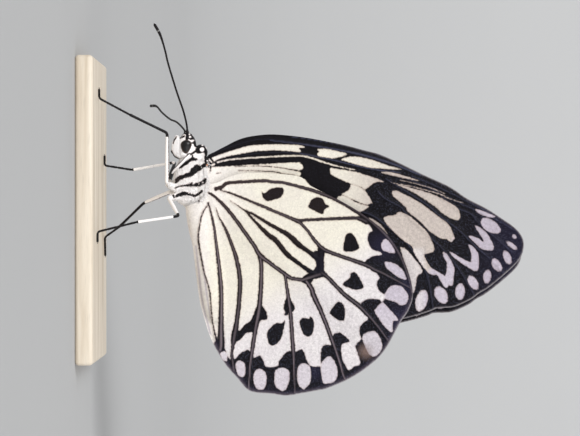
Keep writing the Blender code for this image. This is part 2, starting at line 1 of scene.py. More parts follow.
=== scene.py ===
"""Looks of a paper kite butterfly, life size, standing on a plain wooden base with its wings closed.

Shapes are worked out in millimetres and turned into metres when a mesh is made. X runs from the head
to the tail, Z runs up from the table, and the butterfly's left side is at minus Y. Places on a wing
are (back, up) from the wing joint, where back runs along X and up along Z.
"""

import math
from functools import partial

import bpy
import numpy as np
from bpy.props import FloatProperty, FloatVectorProperty, IntProperty, PointerProperty
from mathutils import Matrix, Vector


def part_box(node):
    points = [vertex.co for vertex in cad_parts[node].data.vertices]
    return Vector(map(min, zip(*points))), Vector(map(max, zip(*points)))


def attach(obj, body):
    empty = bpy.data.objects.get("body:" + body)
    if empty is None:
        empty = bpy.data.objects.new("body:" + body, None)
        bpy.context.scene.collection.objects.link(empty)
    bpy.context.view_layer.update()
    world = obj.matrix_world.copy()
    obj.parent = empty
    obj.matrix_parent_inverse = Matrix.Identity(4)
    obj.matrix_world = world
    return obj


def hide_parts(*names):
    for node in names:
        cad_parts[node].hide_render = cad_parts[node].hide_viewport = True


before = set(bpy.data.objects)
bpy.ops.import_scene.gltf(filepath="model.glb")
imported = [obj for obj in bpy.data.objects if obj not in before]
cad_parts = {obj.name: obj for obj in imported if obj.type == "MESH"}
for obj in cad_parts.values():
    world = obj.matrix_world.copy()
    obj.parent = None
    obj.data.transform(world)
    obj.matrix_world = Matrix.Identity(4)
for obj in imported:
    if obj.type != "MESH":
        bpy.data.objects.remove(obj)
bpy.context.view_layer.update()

bl_info = {
    "name": "Paper kite butterfly",
    "version": (1, 0, 0),
    "blender": (4, 5, 0),
    "location": "3D view > Sidebar > Butterfly",
    "description": "Builds the finished pieces of a life-size paper kite butterfly on its base",
    "category": "Object",
}

MM = 0.001
SIDES = {"left": -1, "right": 1}
FAR = 1.6  # distances to a painted shape are only measured up to this
SEED = 7


def shade(red, green, blue):
    """A colour as light, from its three screen values of 0 to 255."""
    values = np.array((red, green, blue)) / 255
    return tuple(np.where(values <= 0.04045, values / 12.92, ((values + 0.055) / 1.055) ** 2.4).tolist())


# Marks as read in the photograph: (across, down) in its pixels, with a width in pixels for a
# line. Five pixels are a millimetre, and these are the pixels of the model's X = 0 and Z = 0.
PIXELS_A_MM = 5.0
PHOTO_X_ZERO, PHOTO_Z_ZERO = 210.5, 82.5


def from_photo(marks):
    """Marks read in the photograph as (x, z) in the model, and a width, all in millimetres."""
    marks = np.array(marks, float)
    marks[:, :2] = np.column_stack([marks[:, 1] - PHOTO_X_ZERO, marks[:, 0] - PHOTO_Z_ZERO])
    return marks / PIXELS_A_MM


# Body: place along X, height of the middle, half height and half width, as in the solids
BODY = (
    (-11.5, 22.9, 1.4, 1.2),
    (-10.6, 22.7, 2.7, 1.9),
    (-9.1, 22.4, 3.4, 2.3),
    (-7.1, 22.0, 3.8, 2.6),
    (-5.2, 21.9, 3.8, 2.6),
    (-3.5, 21.9, 3.6, 2.4),
    (-2.1, 22.4, 2.8, 2.1),
    (-0.95, 22.8, 2.0, 1.75),
    (-0.65, 22.9, 1.8, 1.6),
    (1.0, 23.1, 1.8, 1.65),
    (4.0, 23.7, 1.9, 1.8),
    (8.0, 24.3, 1.9, 1.8),
    (12.0, 25.0, 1.85, 1.75),
    (16.0, 25.7, 1.7, 1.6),
    (19.5, 26.3, 1.4, 1.3),
    (21.6, 26.7, 0.95, 0.9),
    (22.6, 26.9, 0.35, 0.35),
)
HEAD = (
    (-15.5, 20.7, 0.5, 0.45),
    (-15.2, 20.75, 0.95, 0.8),
    (-14.7, 20.85, 1.38, 1.12),
    (-13.9, 20.9, 1.75, 1.45),
    (-12.9, 20.9, 1.95, 1.62),
    (-11.8, 21.0, 1.8, 1.45),
    (-10.7, 21.3, 1.3, 1.1),
    (-10.0, 21.7, 0.7, 0.7),
)
COLLAR = (
    (-13.0, 23.3, 0.5, 0.5),
    (-12.5, 23.5, 1.2, 1.3),
    (-11.6, 23.6, 1.45, 1.5),
    (-10.6, 23.4, 1.2, 1.4),
)
HEAD_MIDDLE = 21.0  # height
SKULL_INSET = 0.05  # how far the skin lies inside the sections of head and collar
# Small forms that the skin takes in on both sides: the middle of the right one, and its half sizes
LUMPS = {
    "wing_hinge": ((-9.9, 2.0, 24.6), (1.0, 0.5, 0.7)),
    "cheek": ((-11.1, 0.9, 20.3), (0.8, 0.7, 0.8)),
    "root_pad": ((-6.2, 1.85, 24.0), (3.9, 0.9, 1.0)),
}
GROOVE_DEPTH, GROOVE_SPACING, GROOVE_START = 0.05, 2.6, 1.4  # between the rings of the abdomen

EYE_CENTRE, EYE_SIZE = (-12.68, 1.32, 20.75), (1.44, 0.76, 1.12)
EYE_WIDEST = -0.25  # where the eye is highest, from its middle at 0 to its front end at -1
EYE_BACK, EYE_FRONT, EYE_DOME = 1.4, 2.4, 0.62  # powers for its pointed back, blunt front and height
EYE_TILT = 0.1
BARE_CENTRE, BARE_SIZE = (-12.72, 20.75), (1.5, 1.2)  # place and half sizes in X and Z that tufts keep off
PALP = ((-10.5, 0.95, 19.6), (-11.3, 1.0, 18.85), (-12.3, 1.02, 18.65), (-13.4, 0.98, 18.75),
        (-14.3, 0.9, 18.93), (-14.95, 0.82, 18.98))
PALP_DEPTHS = (0.2, 0.62, 0.78, 0.74, 0.6, 0.3)
PALP_WIDTHS = (0.2, 0.42, 0.46, 0.42, 0.36, 0.22)
TONGUE_CENTRE, TONGUE_RADIUS, TONGUE_TURNS, TONGUE_TUBE = (-11.9, 18.25), 0.5, 2.2, 0.12

ANTENNA_LEFT = ((-14.9, 0.5, 21.0), (-15.5, 0.6, 21.0), (-17.2, 0.8, 20.85), (-19.9, 1.1, 20.2),
                (-23.1, 1.5, 19.1), (-26.0, 2.0, 18.2), (-29.4, 2.5, 17.2), (-32.0, 2.9, 16.6),
                (-34.9, 3.3, 15.7), (-37.1, 3.6, 14.5))
ANTENNA_RIGHT = ((-14.9, 0.5, 20.7), (-15.5, 0.75, 20.55), (-16.3, 1.5, 20.2), (-17.8, 5.0, 18.7),
                 (-18.6, 8.5, 17.1), (-20.1, 13.0, 15.3), (-21.5, 16.5, 14.0), (-21.7, 19.2, 12.6))
ANTENNA_RINGS = 46

# Each leg runs through these corners: hip inside the body, hip, knee, ankle, foot and its tip
BASE_TOP, FOOT_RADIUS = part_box("stand_base")[1][2] / MM, 0.22
FOOT = BASE_TOP + FOOT_RADIUS
MID_LEG_LEFT = ((-4.3, 1.1, 19.0), (-5.4, 1.7, 17.0), (-15.4, 3.6, 17.1), (-19.0, 4.6, 9.7),
                (-22.2, 5.2, FOOT), (-24.0, 5.6, FOOT))
MID_LEG_RIGHT = ((-4.5, 1.1, 19.0), (-5.8, 2.3, 17.2), (-9.8, 9.3, 18.1), (-8.3, 10.0, 9.4),
                 (-9.2, 10.3, FOOT), (-11.2, 10.6, FOOT))
HIND_LEG_LEFT = ((-2.9, 1.0, 19.4), (-2.4, 2.2, 17.4), (1.1, 9.0, 19.6), (2.3, 9.6, 11.4),
                 (4.2, 9.9, FOOT), (6.2, 10.1, FOOT))
HIND_LEG_RIGHT = ((-3.1, 1.0, 19.4), (-3.8, 2.1, 17.6), (-1.5, 7.6, 11.8), (3.4, 10.4, 6.6),
                  (5.4, 11.4, FOOT), (9.2, 12.6, FOOT))
# The femur's radius, and the share of the femur's and the tibia's way round that is black, on top
LEGS = {
    "mid_leg_left": (MID_LEG_LEFT, 0.4, 0.25, 1.0),
    "mid_leg_right": (MID_LEG_RIGHT, 0.48, 1.1, 0.0),
    "hind_leg_left": (HIND_LEG_LEFT, 0.4, 0.08, 0.0),
    "hind_leg_right": (HIND_LEG_RIGHT, 0.4, 0.08, 1.0),
}
KNEE_DOT = from_photo(((171.5, 161.5, 1.6),))[0]  # pale, on the right middle leg
LEG_BEND = 0.55
KNEE_RADIUS, TIBIA_RADIUS = 0.3, 0.28
TARSUS_SEGMENTS = 5
BRISTLES = 130  # on each walking leg
FOLDED_LEG = ((-11.1, 1.75, 21.5), (-10.4, 2.15, 20.8), (-9.3, 2.35, 19.7), (-8.2, 2.05, 18.6),
              (-7.5, 1.7, 18.0))
FOLDED_FRONT = (-0.7, 0.0, -0.72)  # the way that the folded leg's front faces
FOLDED_TUFTS, FOLDED_TUFT_LENGTH = 420, 0.24

# The coat: places along X with the tufts' share of their full length, and the fringe over the wings' roots
COAT_LENGTHS = (-15, -11, -10, -2, 0, 22), (0.45, 0.55, 1, 1, 0.6, 0.4)
PALP_TUFT_LENGTH = 0.3
FRINGE_FROM, FRINGE_TO, FRINGE_LENGTH = -10.4, -1.6, 0.38

# Wings, as in the solids
JOINT_X, JOINT_Z = -6.1, 25.1
FORE_PLANE, HIND_PLANE, HIND_CLOSED = 0.5, 1.6, 0.5
CLOSING_START, SETTLING_START, HIND_CLOSING = 0.8, 2.5, 7.0
OVER_START, OVER_RISE = -0.4, 1.6
WRAP_SHARE, WRAP_FADE, COVER_ROOM = 0.8, 0.45, 0.77
RIGHT_FORE_TURN = 1.3
FORE_RIDGE, HIND_RIDGE = 1.1, 1.0  # how wide the raised veins are
# Places along X, and the height of the wings' lower edge at each
ROOT_EDGE = (-11.0, -8.6, -5.2, -2.9, -1.7), (25.1, 24.4, 24.8, 24.5, 23.1)

FOREWING_OUTLINE = (
    ((-4.9, 0.0), (-6.7, 3.4), (-8.0, 6.0), (-8.7, 8.5), (-9.1, 12.2), (-8.9, 16.0), (-8.4, 19.9),
     (-7.7, 23.7), (-6.9, 27.6), (-5.9, 31.4), (-5.1, 34.4), (-3.3, 38.5), (-0.9, 43.4), (1.3, 48.2),
     (3.7, 51.8), (5.6, 55.5), (7.6, 58.6), (9.5, 61.3), (11.4, 62.8), (13.4, 63.1), (15.8, 62.3),
     (18.4, 59.8), (21.4, 56.2), (22.6, 54.2), (23.8, 52.6), (25.2, 49.6), (25.5, 47.8), (25.6, 45.8),
     (26.2, 44.4), (27.0, 41.9), (27.8, 38.8), (28.4, 35.8), (27.6, 33.2)),
    ((27.6, 33.2), (20.0, 24.9), (11.8, 15.2), (5.0, 7.4), (2.3, 3.1), (1.4, 1.4), (1.0, -0.2)),
    ((1.0, -0.2), (-0.6, -0.4), (-2.5, -0.7), (-4.9, 0.0)),
)
HINDWING_OUTLINE = (
    ((0.9, -0.2), (0.6, 1.8), (-0.6, 4.4), (-1.3, 7.2), (-1.3, 12.2), (-0.7, 18.2), (1.0, 20.2),
     (2.3, 22.7), (4.8, 27.6), (7.8, 32.2), (11.6, 36.4), (17.0, 39.5), (22.6, 40.9), (26.0, 40.0),
     (28.4, 38.4), (33.8, 35.4), (36.8, 32.6), (39.6, 28.5), (41.6, 23.9), (42.0, 22.2), (42.7, 18.3),
     (43.1, 15.5), (42.7, 12.6), (42.5, 9.7), (41.8, 7.8), (39.6, 5.9), (37.0, 3.6), (33.8, 1.6)),
    ((33.8, 1.6), (30.9, 0.3), (27.3, -0.8), (24.0, -1.6), (19.4, -2.2), (13.5, -2.9), (11.0, -3.5),
     (8.0, -4.1), (5.3, -4.4)),
    ((5.3, -4.4), (4.4, -2.0), (3.2, -0.6), (0.9, -0.2)),
)


def from_wing(marks):
    """Marks read in the photograph as (back, up) from the wing joint, and a width."""
    marks = from_photo(marks)
    marks[:, :2] -= (JOINT_X, JOINT_Z)
    return marks


def on_body(shapes):
    """Named shapes read in the photograph, each as (x, z) in the model."""
    return {name: from_photo(marks) for name, marks in shapes.items()}


def on_wing(shapes):
    """Named shapes read in the photograph, each as (back, up) from the wing joint."""
    return {name: from_wing(marks) for name, marks in shapes.items()}


# Dark lines of the hindwing
HIND_VEINS = on_wing({
    "subcosta": ((216, 189, 4.2), (222, 187, 3.5), (227, 183.5, 3.5), (235, 182.5, 3.1), (262, 181, 3.3),
                 (273.5, 182, 3.1), (284.5, 183, 3), (305.5, 188.5, 3.2), (315.5, 191.5, 3.6),
                 (336, 199.5, 4.2), (357, 211.5, 4.6), (372.5, 222.5, 6.5), (389, 239, 6),
                 (401, 257.5, 6), (409.5, 281, 5.5), (411.5, 292, 5)),
    "sector": ((221, 190.5, 0.8), (238, 196, 2.2), (297.5, 221, 3.6)),
    "sector_branch": ((297.5, 221, 3.2), (306.5, 220, 3), (352, 218, 3.4), (360, 219, 4.5), (366, 221.5, 6)),
    "media_1": ((297.5, 221, 3.2), (302, 224.5, 3), (307.5, 230.5, 3), (314, 239.5, 3.3), (322.5, 248.5, 4.2),
                (333.5, 253.5, 3.8), (365, 264.5, 4.5), (374.5, 269.5, 4.8), (384.5, 274, 4),
                (409.5, 287.5, 2.6)),
    "cell_end": ((320.5, 249.5, 6.5), (320, 259.5, 7.8), (320, 266, 8.3), (320, 273.5, 7)),
    "upper_streak": ((230, 200.5, 0.4), (237, 205, 0.7), (246, 211, 1.8), (253, 214, 2.5), (271, 225, 3.6),
                     (287, 234, 4.8), (297.5, 243.5, 6), (302, 247, 4.9), (308.5, 251.5, 4.4),
                     (318, 258.5, 6.3)),
    "lower_streak": ((246, 211, 1), (250.5, 216.5, 2), (268, 234.5, 4.6), (275.5, 240, 5.3), (287, 254, 4.9),
                     (300.5, 264.5, 4), (306.5, 269, 4.3), (315.5, 274.5, 5.4)),
    "cubitus": ((208.5, 192.5, 1.6), (213, 195, 2.5), (218, 199.5, 2.9), (224.5, 205.5, 3.4), (237, 221, 3.8),
                (254, 245, 4), (258.5, 253, 4.9), (262, 257, 5.4), (269, 262, 4), (289, 276.5, 4),
                (295, 278.5, 3.8), (302, 279.5, 4), (307.5, 278, 5.4), (320, 274, 6.7)),
    "media_2": ((321.5, 272.5, 4.9), (328, 277.5, 4.3), (344, 294, 4.6), (360.5, 307, 4.9),
                (375.5, 323.5, 4.3), (387.5, 339.5, 3)),
    "media_3": ((306.5, 281, 4.9), (311.5, 288.5, 5.2), (314, 296, 5.5), (322.5, 314.5, 4.6),
                (333.5, 344, 4.3), (340, 363.5, 4.6), (343, 374.5, 3.8), (346.5, 382, 3)),
    "cubitus_1": ((285.5, 274.5, 3), (286.5, 283, 3), (288, 295, 3.9), (289.5, 305.5, 4.6),
                  (290.5, 313.5, 3.9), (293, 347, 4.3), (294, 370.5, 3.5), (294.5, 393, 2)),
    "cubitus_2": ((260.5, 258.5, 4.6), (261.5, 266.5, 4.3), (261, 287, 4.6), (259.5, 305.5, 5.1),
                  (258, 315.5, 6.1), (256, 325.5, 5.1), (254.5, 335, 4.6), (250, 365.5, 3.9),
                  (249.5, 375.5, 3.1), (248.5, 389, 2.7)),
    "anal_1": ((216, 207.5, 0.5), (219, 216.5, 1.2), (222.5, 222.5, 2.1), (226.5, 230.5, 2.9),
               (232.5, 246, 3.6), (237, 261, 4.3), (240, 279, 4.6), (239, 303.5, 4.6), (236.5, 323.5, 5.1),
               (234, 338, 6.1), (233, 346, 3.3), (232, 355.5, 3.1), (234, 370.5, 5)),
    "anal_2": ((208.5, 203, 1.6), (210, 207.5, 1.6), (213.5, 225.5, 2.5), (219.5, 273.5, 4.3),
               (221, 295, 4.5), (221, 311.5, 4.6), (221, 330, 6.1), (221, 345, 6.1), (220, 350, 5.1)),
    "gutter_line": ((208.5, 203, 1.1), (204, 210, 1.3), (201.5, 217.5, 1.4), (199, 236, 1.6),
                    (201.5, 255, 1.6), (204.5, 270.5, 1.3), (207.5, 281, 1.2), (210.5, 293, 1.3),
                    (213, 321.5, 1.2), (216.5, 340, 1.6)),
})
# How grey the middle of each dark line is worn, where it isn't VEIN_WEAR
VEIN_WEAR = 0.55
WEAR = {"anal_2": 1.0, "cubitus_1": 0.9, "cubitus_2": 0.9, "media_3": 0.95, "cubitus": 0.75, "subcosta": 0.45,
        "sector_branch": 0.3, "gutter_line": 0.3, "cell_end": 0.0, "upper_streak": 0.0, "lower_streak": 0.0}
HIND_BLOTS = on_wing({
    "front_spot": ((262, 191.5), (264.5, 193.5), (269.5, 189.5), (275, 188), (281, 187.5), (283.5, 189.5),
                   (283, 194), (279.5, 198), (275, 199.5), (268, 201), (263.5, 198.5)),
    "second_spot": ((309, 204), (312, 199.5), (318, 197), (323, 199.5), (325.5, 204), (329, 206.5),
                    (324.5, 209.5), (322, 214), (309, 208)),
    "third_spot": ((343.5, 250.5), (344, 241), (346, 235), (349.5, 233), (354, 236), (359, 246.5),
                   (356.5, 250), (351, 251.5)),
    "fourth_spot": ((342.5, 284), (349.5, 277.5), (350, 273.5), (353.5, 272), (357, 274), (360.5, 280),
                    (363, 287.5), (355, 289.5), (348.5, 287.5)),
    "fifth_spot": ((330, 311.5), (336.5, 302.5), (340.5, 302), (344, 306), (345, 313.5), (343.5, 320),
                   (337.5, 319.5), (331, 314.5)),
    "sixth_spot": ((299.5, 321.5), (303, 318), (309, 318.5), (310, 316.5), (313, 319), (314, 325.5),
                   (312.5, 333), (308.5, 336.5), (304, 334.5), (301, 328)),
    "seventh_spot": ((267, 333), (272, 326), (277, 323), (282, 323), (285, 321), (282, 336), (278, 342.5),
                     (273, 345.5), (269, 343.5)),
    "cubitus_1_left": ((287, 297), (283.5, 307.5), (285, 311.5), (284.5, 315), (287, 315), (289, 311.5)),
    "cubitus_1_right": ((289.5, 299), (294.5, 305.5), (294, 310.5), (291, 313), (289.5, 311.5)),
    "cubitus_2_right": ((261.5, 305.5), (264, 307.5), (266.5, 312.5), (267.5, 317.5), (266, 319.5),
                        (261.5, 320), (258.5, 321.5), (257, 312)),
    "anal_link": ((257, 306.5), (251, 320), (245.5, 324), (239.5, 330.5), (236.5, 328), (234.5, 335),
                  (236, 342.5), (241, 339), (245.5, 333.5), (255, 329)),
    "cell_corner": ((300.5, 279.5), (309, 272.5), (313, 270.5), (319.5, 262), (322.5, 268), (322, 276),
                    (314, 279), (311, 283), (306, 284)),
    "cell_top": ((313.5, 252), (318, 250), (319.5, 246), (324, 247), (324.5, 253), (323, 262), (317, 258.5)),
})
HIND_BORDER = from_wing((
    (210, 352), (213, 345), (218.5, 338), (224.5, 338), (225, 348), (229, 358), (231, 358.5), (233, 357),
    (235, 358.5), (242, 352), (247.5, 349.5), (251, 352), (253.5, 357.5), (257.5, 356), (260.5, 356),
    (263.5, 360.5), (266, 366.5), (277, 366), (279.5, 360.5), (285, 353.5), (290, 351), (295, 352),
    (300.5, 349.5), (302.5, 349.5), (304.5, 353.5), (306.5, 359.5), (311, 366), (320.5, 366), (321, 362.5),
    (320.5, 357), (321, 351.5), (322.5, 346.5), (326, 344.5), (331, 344.5), (333.5, 335), (337.5, 332.5),
    (341, 333), (349.5, 340.5), (344, 343), (341.5, 345), (341, 349.5), (342, 358), (345.5, 365.5),
    (349, 370), (354, 366.5), (359.5, 364.5), (359.5, 359), (355.5, 347), (356.5, 344), (361, 338.5),
    (359.5, 333), (360, 326.5), (364, 321.5), (367.5, 319), (366, 311), (360.5, 304), (366, 299.5),
    (372.5, 298.5), (379, 299.5), (381.5, 301.5), (384, 299), (384.5, 294.5), (380, 291.5), (377, 286.5),
    (377, 281), (379, 277), (372, 268), (365, 262.5), (369, 258), (373.5, 256), (381.5, 254.5), (380, 252),
    (372.5, 249.5), (369, 244), (367.5, 238.5), (368.5, 233.5), (372.5, 230), (367, 223), (364, 216),
    (380, 215), (425, 250), (430, 330), (400, 380), (340, 410), (240, 410), (205, 370)))
HIND_WINDOWS = on_wing({
    "anal_patch": ((249.5, 332.5), (250.5, 337), (249.5, 344), (247.5, 349.5), (242, 352), (235, 358.5),
                   (234, 356.5), (236, 343), (241, 339.5), (245.5, 335)),
    "oval_1": ((220.5, 353), (224, 351), (227.5, 353), (227.5, 357.5), (226.5, 361), (223, 360),
               (221, 356.5)),
    "oval_2": ((236, 362.5), (240, 360.5), (244.5, 363), (245.5, 369.5), (244.5, 375.5), (241, 377),
               (237.5, 373.5), (236, 367.5)),
    "oval_3": ((253.5, 375.5), (256.5, 369.5), (261.5, 369), (266, 373.5), (266.5, 381), (264, 388.5),
               (259.5, 389.5), (255, 386)),
    "oval_4": ((274.5, 375.5), (276, 369.5), (282, 367.5), (287, 369), (289.5, 373.5), (288.5, 383),
               (284.5, 390.5), (278.5, 389), (275, 384)),
    "oval_5": ((297, 372.5), (298.5, 366.5), (302.5, 363), (307.5, 364.5), (310.5, 368.5), (310.5, 381),
               (307.5, 386), (303.5, 389), (299.5, 386), (297.5, 380)),
    "oval_6": ((321, 364.5), (324.5, 359), (329, 356), (333.5, 359.5), (336.5, 366.5), (337.5, 374.5),
               (334.5, 381), (328, 383.5), (323.5, 383), (321.5, 375.5)),
    "oval_8": ((362, 337), (365, 333), (370.5, 331), (375.5, 331.5), (380, 337.5), (382, 345), (380, 351.5),
               (374, 356.5), (369, 353.5), (365, 346)),
    "oval_9": ((381.5, 302.5), (385.5, 305), (397.5, 318.5), (393, 321), (392.5, 327.5), (391.5, 332),
               (385.5, 327.5), (379, 319), (374.5, 311.5), (375.5, 308)),
    "oval_10": ((383.5, 296.5), (388.5, 287.5), (394, 285), (401.5, 286.5), (407, 293), (408, 298.5),
                (405, 304), (400.5, 305), (394, 301.5), (387.5, 299.5)),
    "oval_11": ((384, 262.5), (386.5, 261.5), (393, 263), (398.5, 266), (403, 271), (406, 279),
                (400.5, 278.5), (393, 273.5), (386.5, 268)),
    "oval_12": ((381, 244), (384.5, 239), (388.5, 241), (393, 247.5), (394.5, 253), (387.5, 252),
                (382, 249.5)),
})
# Painted shade in lilac grey on the pale scales, along the folds of the rear edge and between the wing's root
# and the thorax
HIND_FOLD_SHADES = on_wing({
    "outer_fold": ((196.5, 246, 1.0), (199.5, 272, 1.5), (203, 302, 1.5), (210.5, 334, 1.4)),
    "inner_fold": ((203.5, 262, 0.8), (207, 292, 1.2), (211, 318, 1.0)),
    "root_fold": ((209, 171, 1.0), (208.5, 174.5, 1.8), (208.5, 178.5, 1.4)),
})
# Where the dark scales shine violet, a worn place in the border, and the plain black end of the cell,
# each with how far it reaches
VIOLET_PLACES = from_wing(((383, 245, 25), (398, 317.5, 25), (315.5, 372.5, 15), (408, 285, 17.5)))
WORN_PLACE = from_wing(((366, 351, 12),))
CELL_END = from_wing(((319, 265, 20),))
# Pale ends on the forewing where dark scales are strewn
SPECKED_ENDS = from_wing(((425, 250, 8), (447, 237, 8), (494, 225, 10), (484, 213, 8)))
# The wings' roots, each in millimetres back and up with its reach: where the pale scales are whitest,
# where the hindwing's dark lines aren't worn, and where they are brown
FORE_ROOT, HIND_ROOT = ((-2.0, 0.0, 18.0),), ((2.0, -1.0, 14.0),)
PLAIN_ROOT, BROWN_ROOT = ((1.0, 0.0, 17.0),), ((1.0, 0.0, 26.0),)

# The forewing is black with these pale cells, patches and lines
FORE_CELL = from_wing((
    (204, 170), (212, 167.5), (239.5, 165.5), (294.5, 162.5), (300.5, 163.5), (303, 166.5), (302.5, 169),
    (298.5, 171), (300.5, 172), (301, 174.5), (299, 177), (302.5, 178.5), (308.5, 183.5), (330, 215),
    (300, 260), (230, 230), (200, 190)))
FORE_PATCHES = on_wing({
    "front_streak": ((213.5, 157.5), (224.5, 153), (239.5, 148.5), (251, 145.5), (268, 144.5), (285.5, 144.5),
                     (300.5, 145.5), (304.5, 147.5), (299, 148.5), (300.5, 152), (285.5, 151), (274, 150.5),
                     (260, 151), (248.5, 152.5), (225.5, 157), (216.5, 160.5), (212, 163), (208.5, 160)),
    "front_patch_1": ((317.5, 149), (326.5, 149), (334.5, 150.5), (346.5, 153.5), (345, 155.5), (338, 157.5),
                      (332.5, 158.5), (325.5, 157.5), (318, 156), (317.5, 153.5), (319, 152)),
    "front_patch_2": ((341.5, 159), (352, 156.5), (362, 157.5), (374, 160.5), (386, 165), (401, 169.5),
                      (374, 168.2), (364, 166.5), (345, 161.2)),
    "front_patch_3": ((381.5, 172.2), (388.5, 172), (398, 174), (419, 180.5), (410, 179.5), (386, 174.2)),
    "beige_1": ((330, 168.5), (334.5, 168.5), (357.5, 172.5), (383.5, 181.5), (375, 182.5), (365, 189.5),
                (361, 187), (351, 184), (332.5, 175.5), (330.5, 172)),
    "beige_2": ((351.5, 184.5), (359, 186.5), (364.5, 190.5), (368, 195), (372, 202.5), (370.5, 203.5),
                (363.5, 204), (343, 195), (343, 193.5), (348, 190.5), (350, 187.5)),
    "beige_3": ((337, 198.5), (343.5, 195.5), (356.5, 202.5), (368, 206), (368, 207.5), (360, 212),
                (353, 210), (345, 205)),
    "long_1": ((392, 192), (394.5, 190.5), (399.5, 192), (412.5, 198.5), (422.5, 204.5), (440.5, 218),
               (448, 224), (451.5, 230), (454, 236.5), (453.5, 239.5), (450.5, 242), (446.5, 239), (442, 239),
               (434.5, 235), (427, 229), (420, 221.5), (408, 212), (405.5, 207), (393.5, 196.5)),
    "long_2": ((396.5, 184.5), (415, 189), (434.5, 195), (451.5, 204), (458, 209), (460, 216), (458, 220),
               (452.5, 219), (446.5, 216), (440.5, 212), (432, 204.5), (412.5, 192)),
    "long_3": ((383.5, 218.5), (388.5, 216), (394.5, 215), (399, 212), (405.5, 214), (412.5, 218.5),
               (426, 231), (431, 239.5), (434, 247), (433.5, 251), (429.5, 253), (424.5, 254.5), (425.5, 259),
               (430, 266.5), (437, 273.5), (431, 274.5), (423.5, 267.5), (414, 253), (412.5, 247),
               (408, 243.5), (402, 239.5), (389.5, 227.5)),
    "vee_1": ((431, 268), (437, 275), (440.5, 281), (445.5, 288), (449, 285.5), (452.5, 285), (453.5, 276),
              (454.5, 269.5), (451.5, 261.5), (446.5, 254), (442.5, 252), (444, 258), (446.5, 262.5),
              (446.5, 269.5), (445, 275.5), (442, 274)),
    "vee_2": ((449.5, 252), (452.5, 253), (469, 262), (471, 259), (471, 253), (468, 245), (469.5, 244.5),
              (474.5, 248), (478, 254), (478.5, 261.5), (478, 269), (473.5, 270.5), (455, 258.5)),
    "vee_3": ((468.5, 236), (473.5, 236.5), (479.5, 239), (482.5, 241.5), (483, 239.5), (475, 227),
              (477, 226), (482, 229), (488, 235), (491.5, 241.5), (493.5, 247), (491.5, 250.5), (482, 249),
              (474.5, 242.5)),
    "low_patch": ((400.5, 249.5), (403, 248), (406.5, 249.5), (417.5, 262.5), (422, 270), (421, 273.5),
                  (417.5, 276), (414.5, 290.5), (412.5, 292), (409, 276)),
    "sliver": ((368, 217.5), (376.5, 221.5), (382.5, 226.5), (388, 235), (383.5, 230)),
    "tip_1": ((475, 210), (478, 209.5), (488, 213), (495, 216.5), (490, 217.5), (479.5, 214)),
    "tip_2": ((480.5, 221.5), (483.5, 218), (491.5, 219.5), (498.5, 225.5), (500.5, 230.5), (497.5, 233.5),
              (490, 232.5), (483, 228)),
})
# Pale ovals along the outer margin: across, down, half length, half width, and turn in degrees
FORE_OVALS = (
    (514, 236.5, 2.6, 1.9, 50), (511.5, 245.5, 6.2, 2.3, 37), (507, 257.5, 7, 3.6, 68),
    (496.5, 265, 7.2, 4.2, 55), (487, 276.5, 6.9, 3.9, 95), (473, 282.5, 7.8, 4.4, 58),
    (460, 291.5, 8.1, 4.9, 92), (441, 295, 9.2, 6, 62), (421.5, 300.5, 11, 5.9, 105),
)
FORE_PALE_LINES = on_wing({
    "cell_edge": ((212, 165.5, 1.8), (216.5, 163, 1.5), (228, 160, 1.5), (251, 158, 1.5), (285.5, 156, 1.6),
                  (302.5, 156.2, 1.7), (312, 158.3, 1.7), (320, 161, 1.7), (330, 164.2, 1.5),
                  (341, 167, 1.3), (350, 168.9, 1.1), (355.5, 169.8, 0.8)),
    "outer_edge": ((391, 182.6, 0.5), (411.5, 186.5, 0.8), (425, 190, 0.9), (439.5, 194, 0.9),
                   (449, 198.5, 0.8), (463, 203, 0.5)),
    "middle_edge": ((400, 180.3, 0.4), (415, 183.5, 0.7), (430, 187.8, 0.7), (445, 193.8, 0.5)),
})
FORE_DARK_LINES = on_wing({
    "cell_1": ((235, 166.5, 0.4), (256.5, 166, 0.7), (274, 167, 0.9), (285.5, 168.5, 1), (298.5, 171, 1.2)),
    "cell_2": ((238.5, 170.5, 0.4), (271.5, 171.5, 1.1), (283, 174, 1.2), (292, 175, 1), (300, 177, 0.9)),
    "tick": ((216.5, 173.5, 0.7), (220.5, 173, 0.7)),
    "root_band": ((208.5, 152, 1.8), (210.5, 158, 1.8), (213, 161.8, 2), (217, 164.3, 1.8)),
    "root_hook": ((209.3, 166, 1.0), (210.7, 168.5, 1.3), (210, 172, 1.0)),
    "scratch": ((225.5, 181.5, 0.5), (231.5, 178, 0.3)),
    "hidden_anal": ((224, 186, 1.5), (240, 194.5, 3), (265, 211, 3), (301, 242, 3.5)),
})
# Middles of the forewing's veins, and how wide their blue-grey crests are
FORE_CRESTS = on_wing({
    "media_2": ((377.5, 191), (385, 198.5), (400.5, 207), (408, 215.5), (445.5, 252), (461, 272.5),
                (469.5, 287), (474.5, 296)),
    "media_1": ((386, 179), (425, 203.5), (440.5, 216.5), (458.5, 230), (477, 248), (494, 262), (503, 273)),
    "media_3": ((360, 211), (372.5, 215.5), (382.5, 222.5), (394.5, 232.5), (408, 244.5), (423.5, 267.5),
                (428.5, 281), (433, 308)),
    "radius_5": ((440.5, 196), (455, 207), (471, 214), (479.5, 224), (512, 252)),
    "radius_4": ((449, 198.5), (495, 219), (518, 232.5)),
    "radius_3": ((411.5, 176), (440, 188), (492, 214)),
    "subcosta": ((213, 152.5), (252, 140.5), (275, 140), (300, 143.5), (330, 148.3), (350, 152), (372, 157.5),
                 (392, 164), (420, 175)),
    "radius": ((214, 163.5), (230, 158), (252, 154), (275, 152.5), (302, 153.8), (320, 157), (340, 161.6),
               (360, 166.5), (380, 170.6), (410, 180), (440, 193)),
})
CREST_WIDTH = 0.34
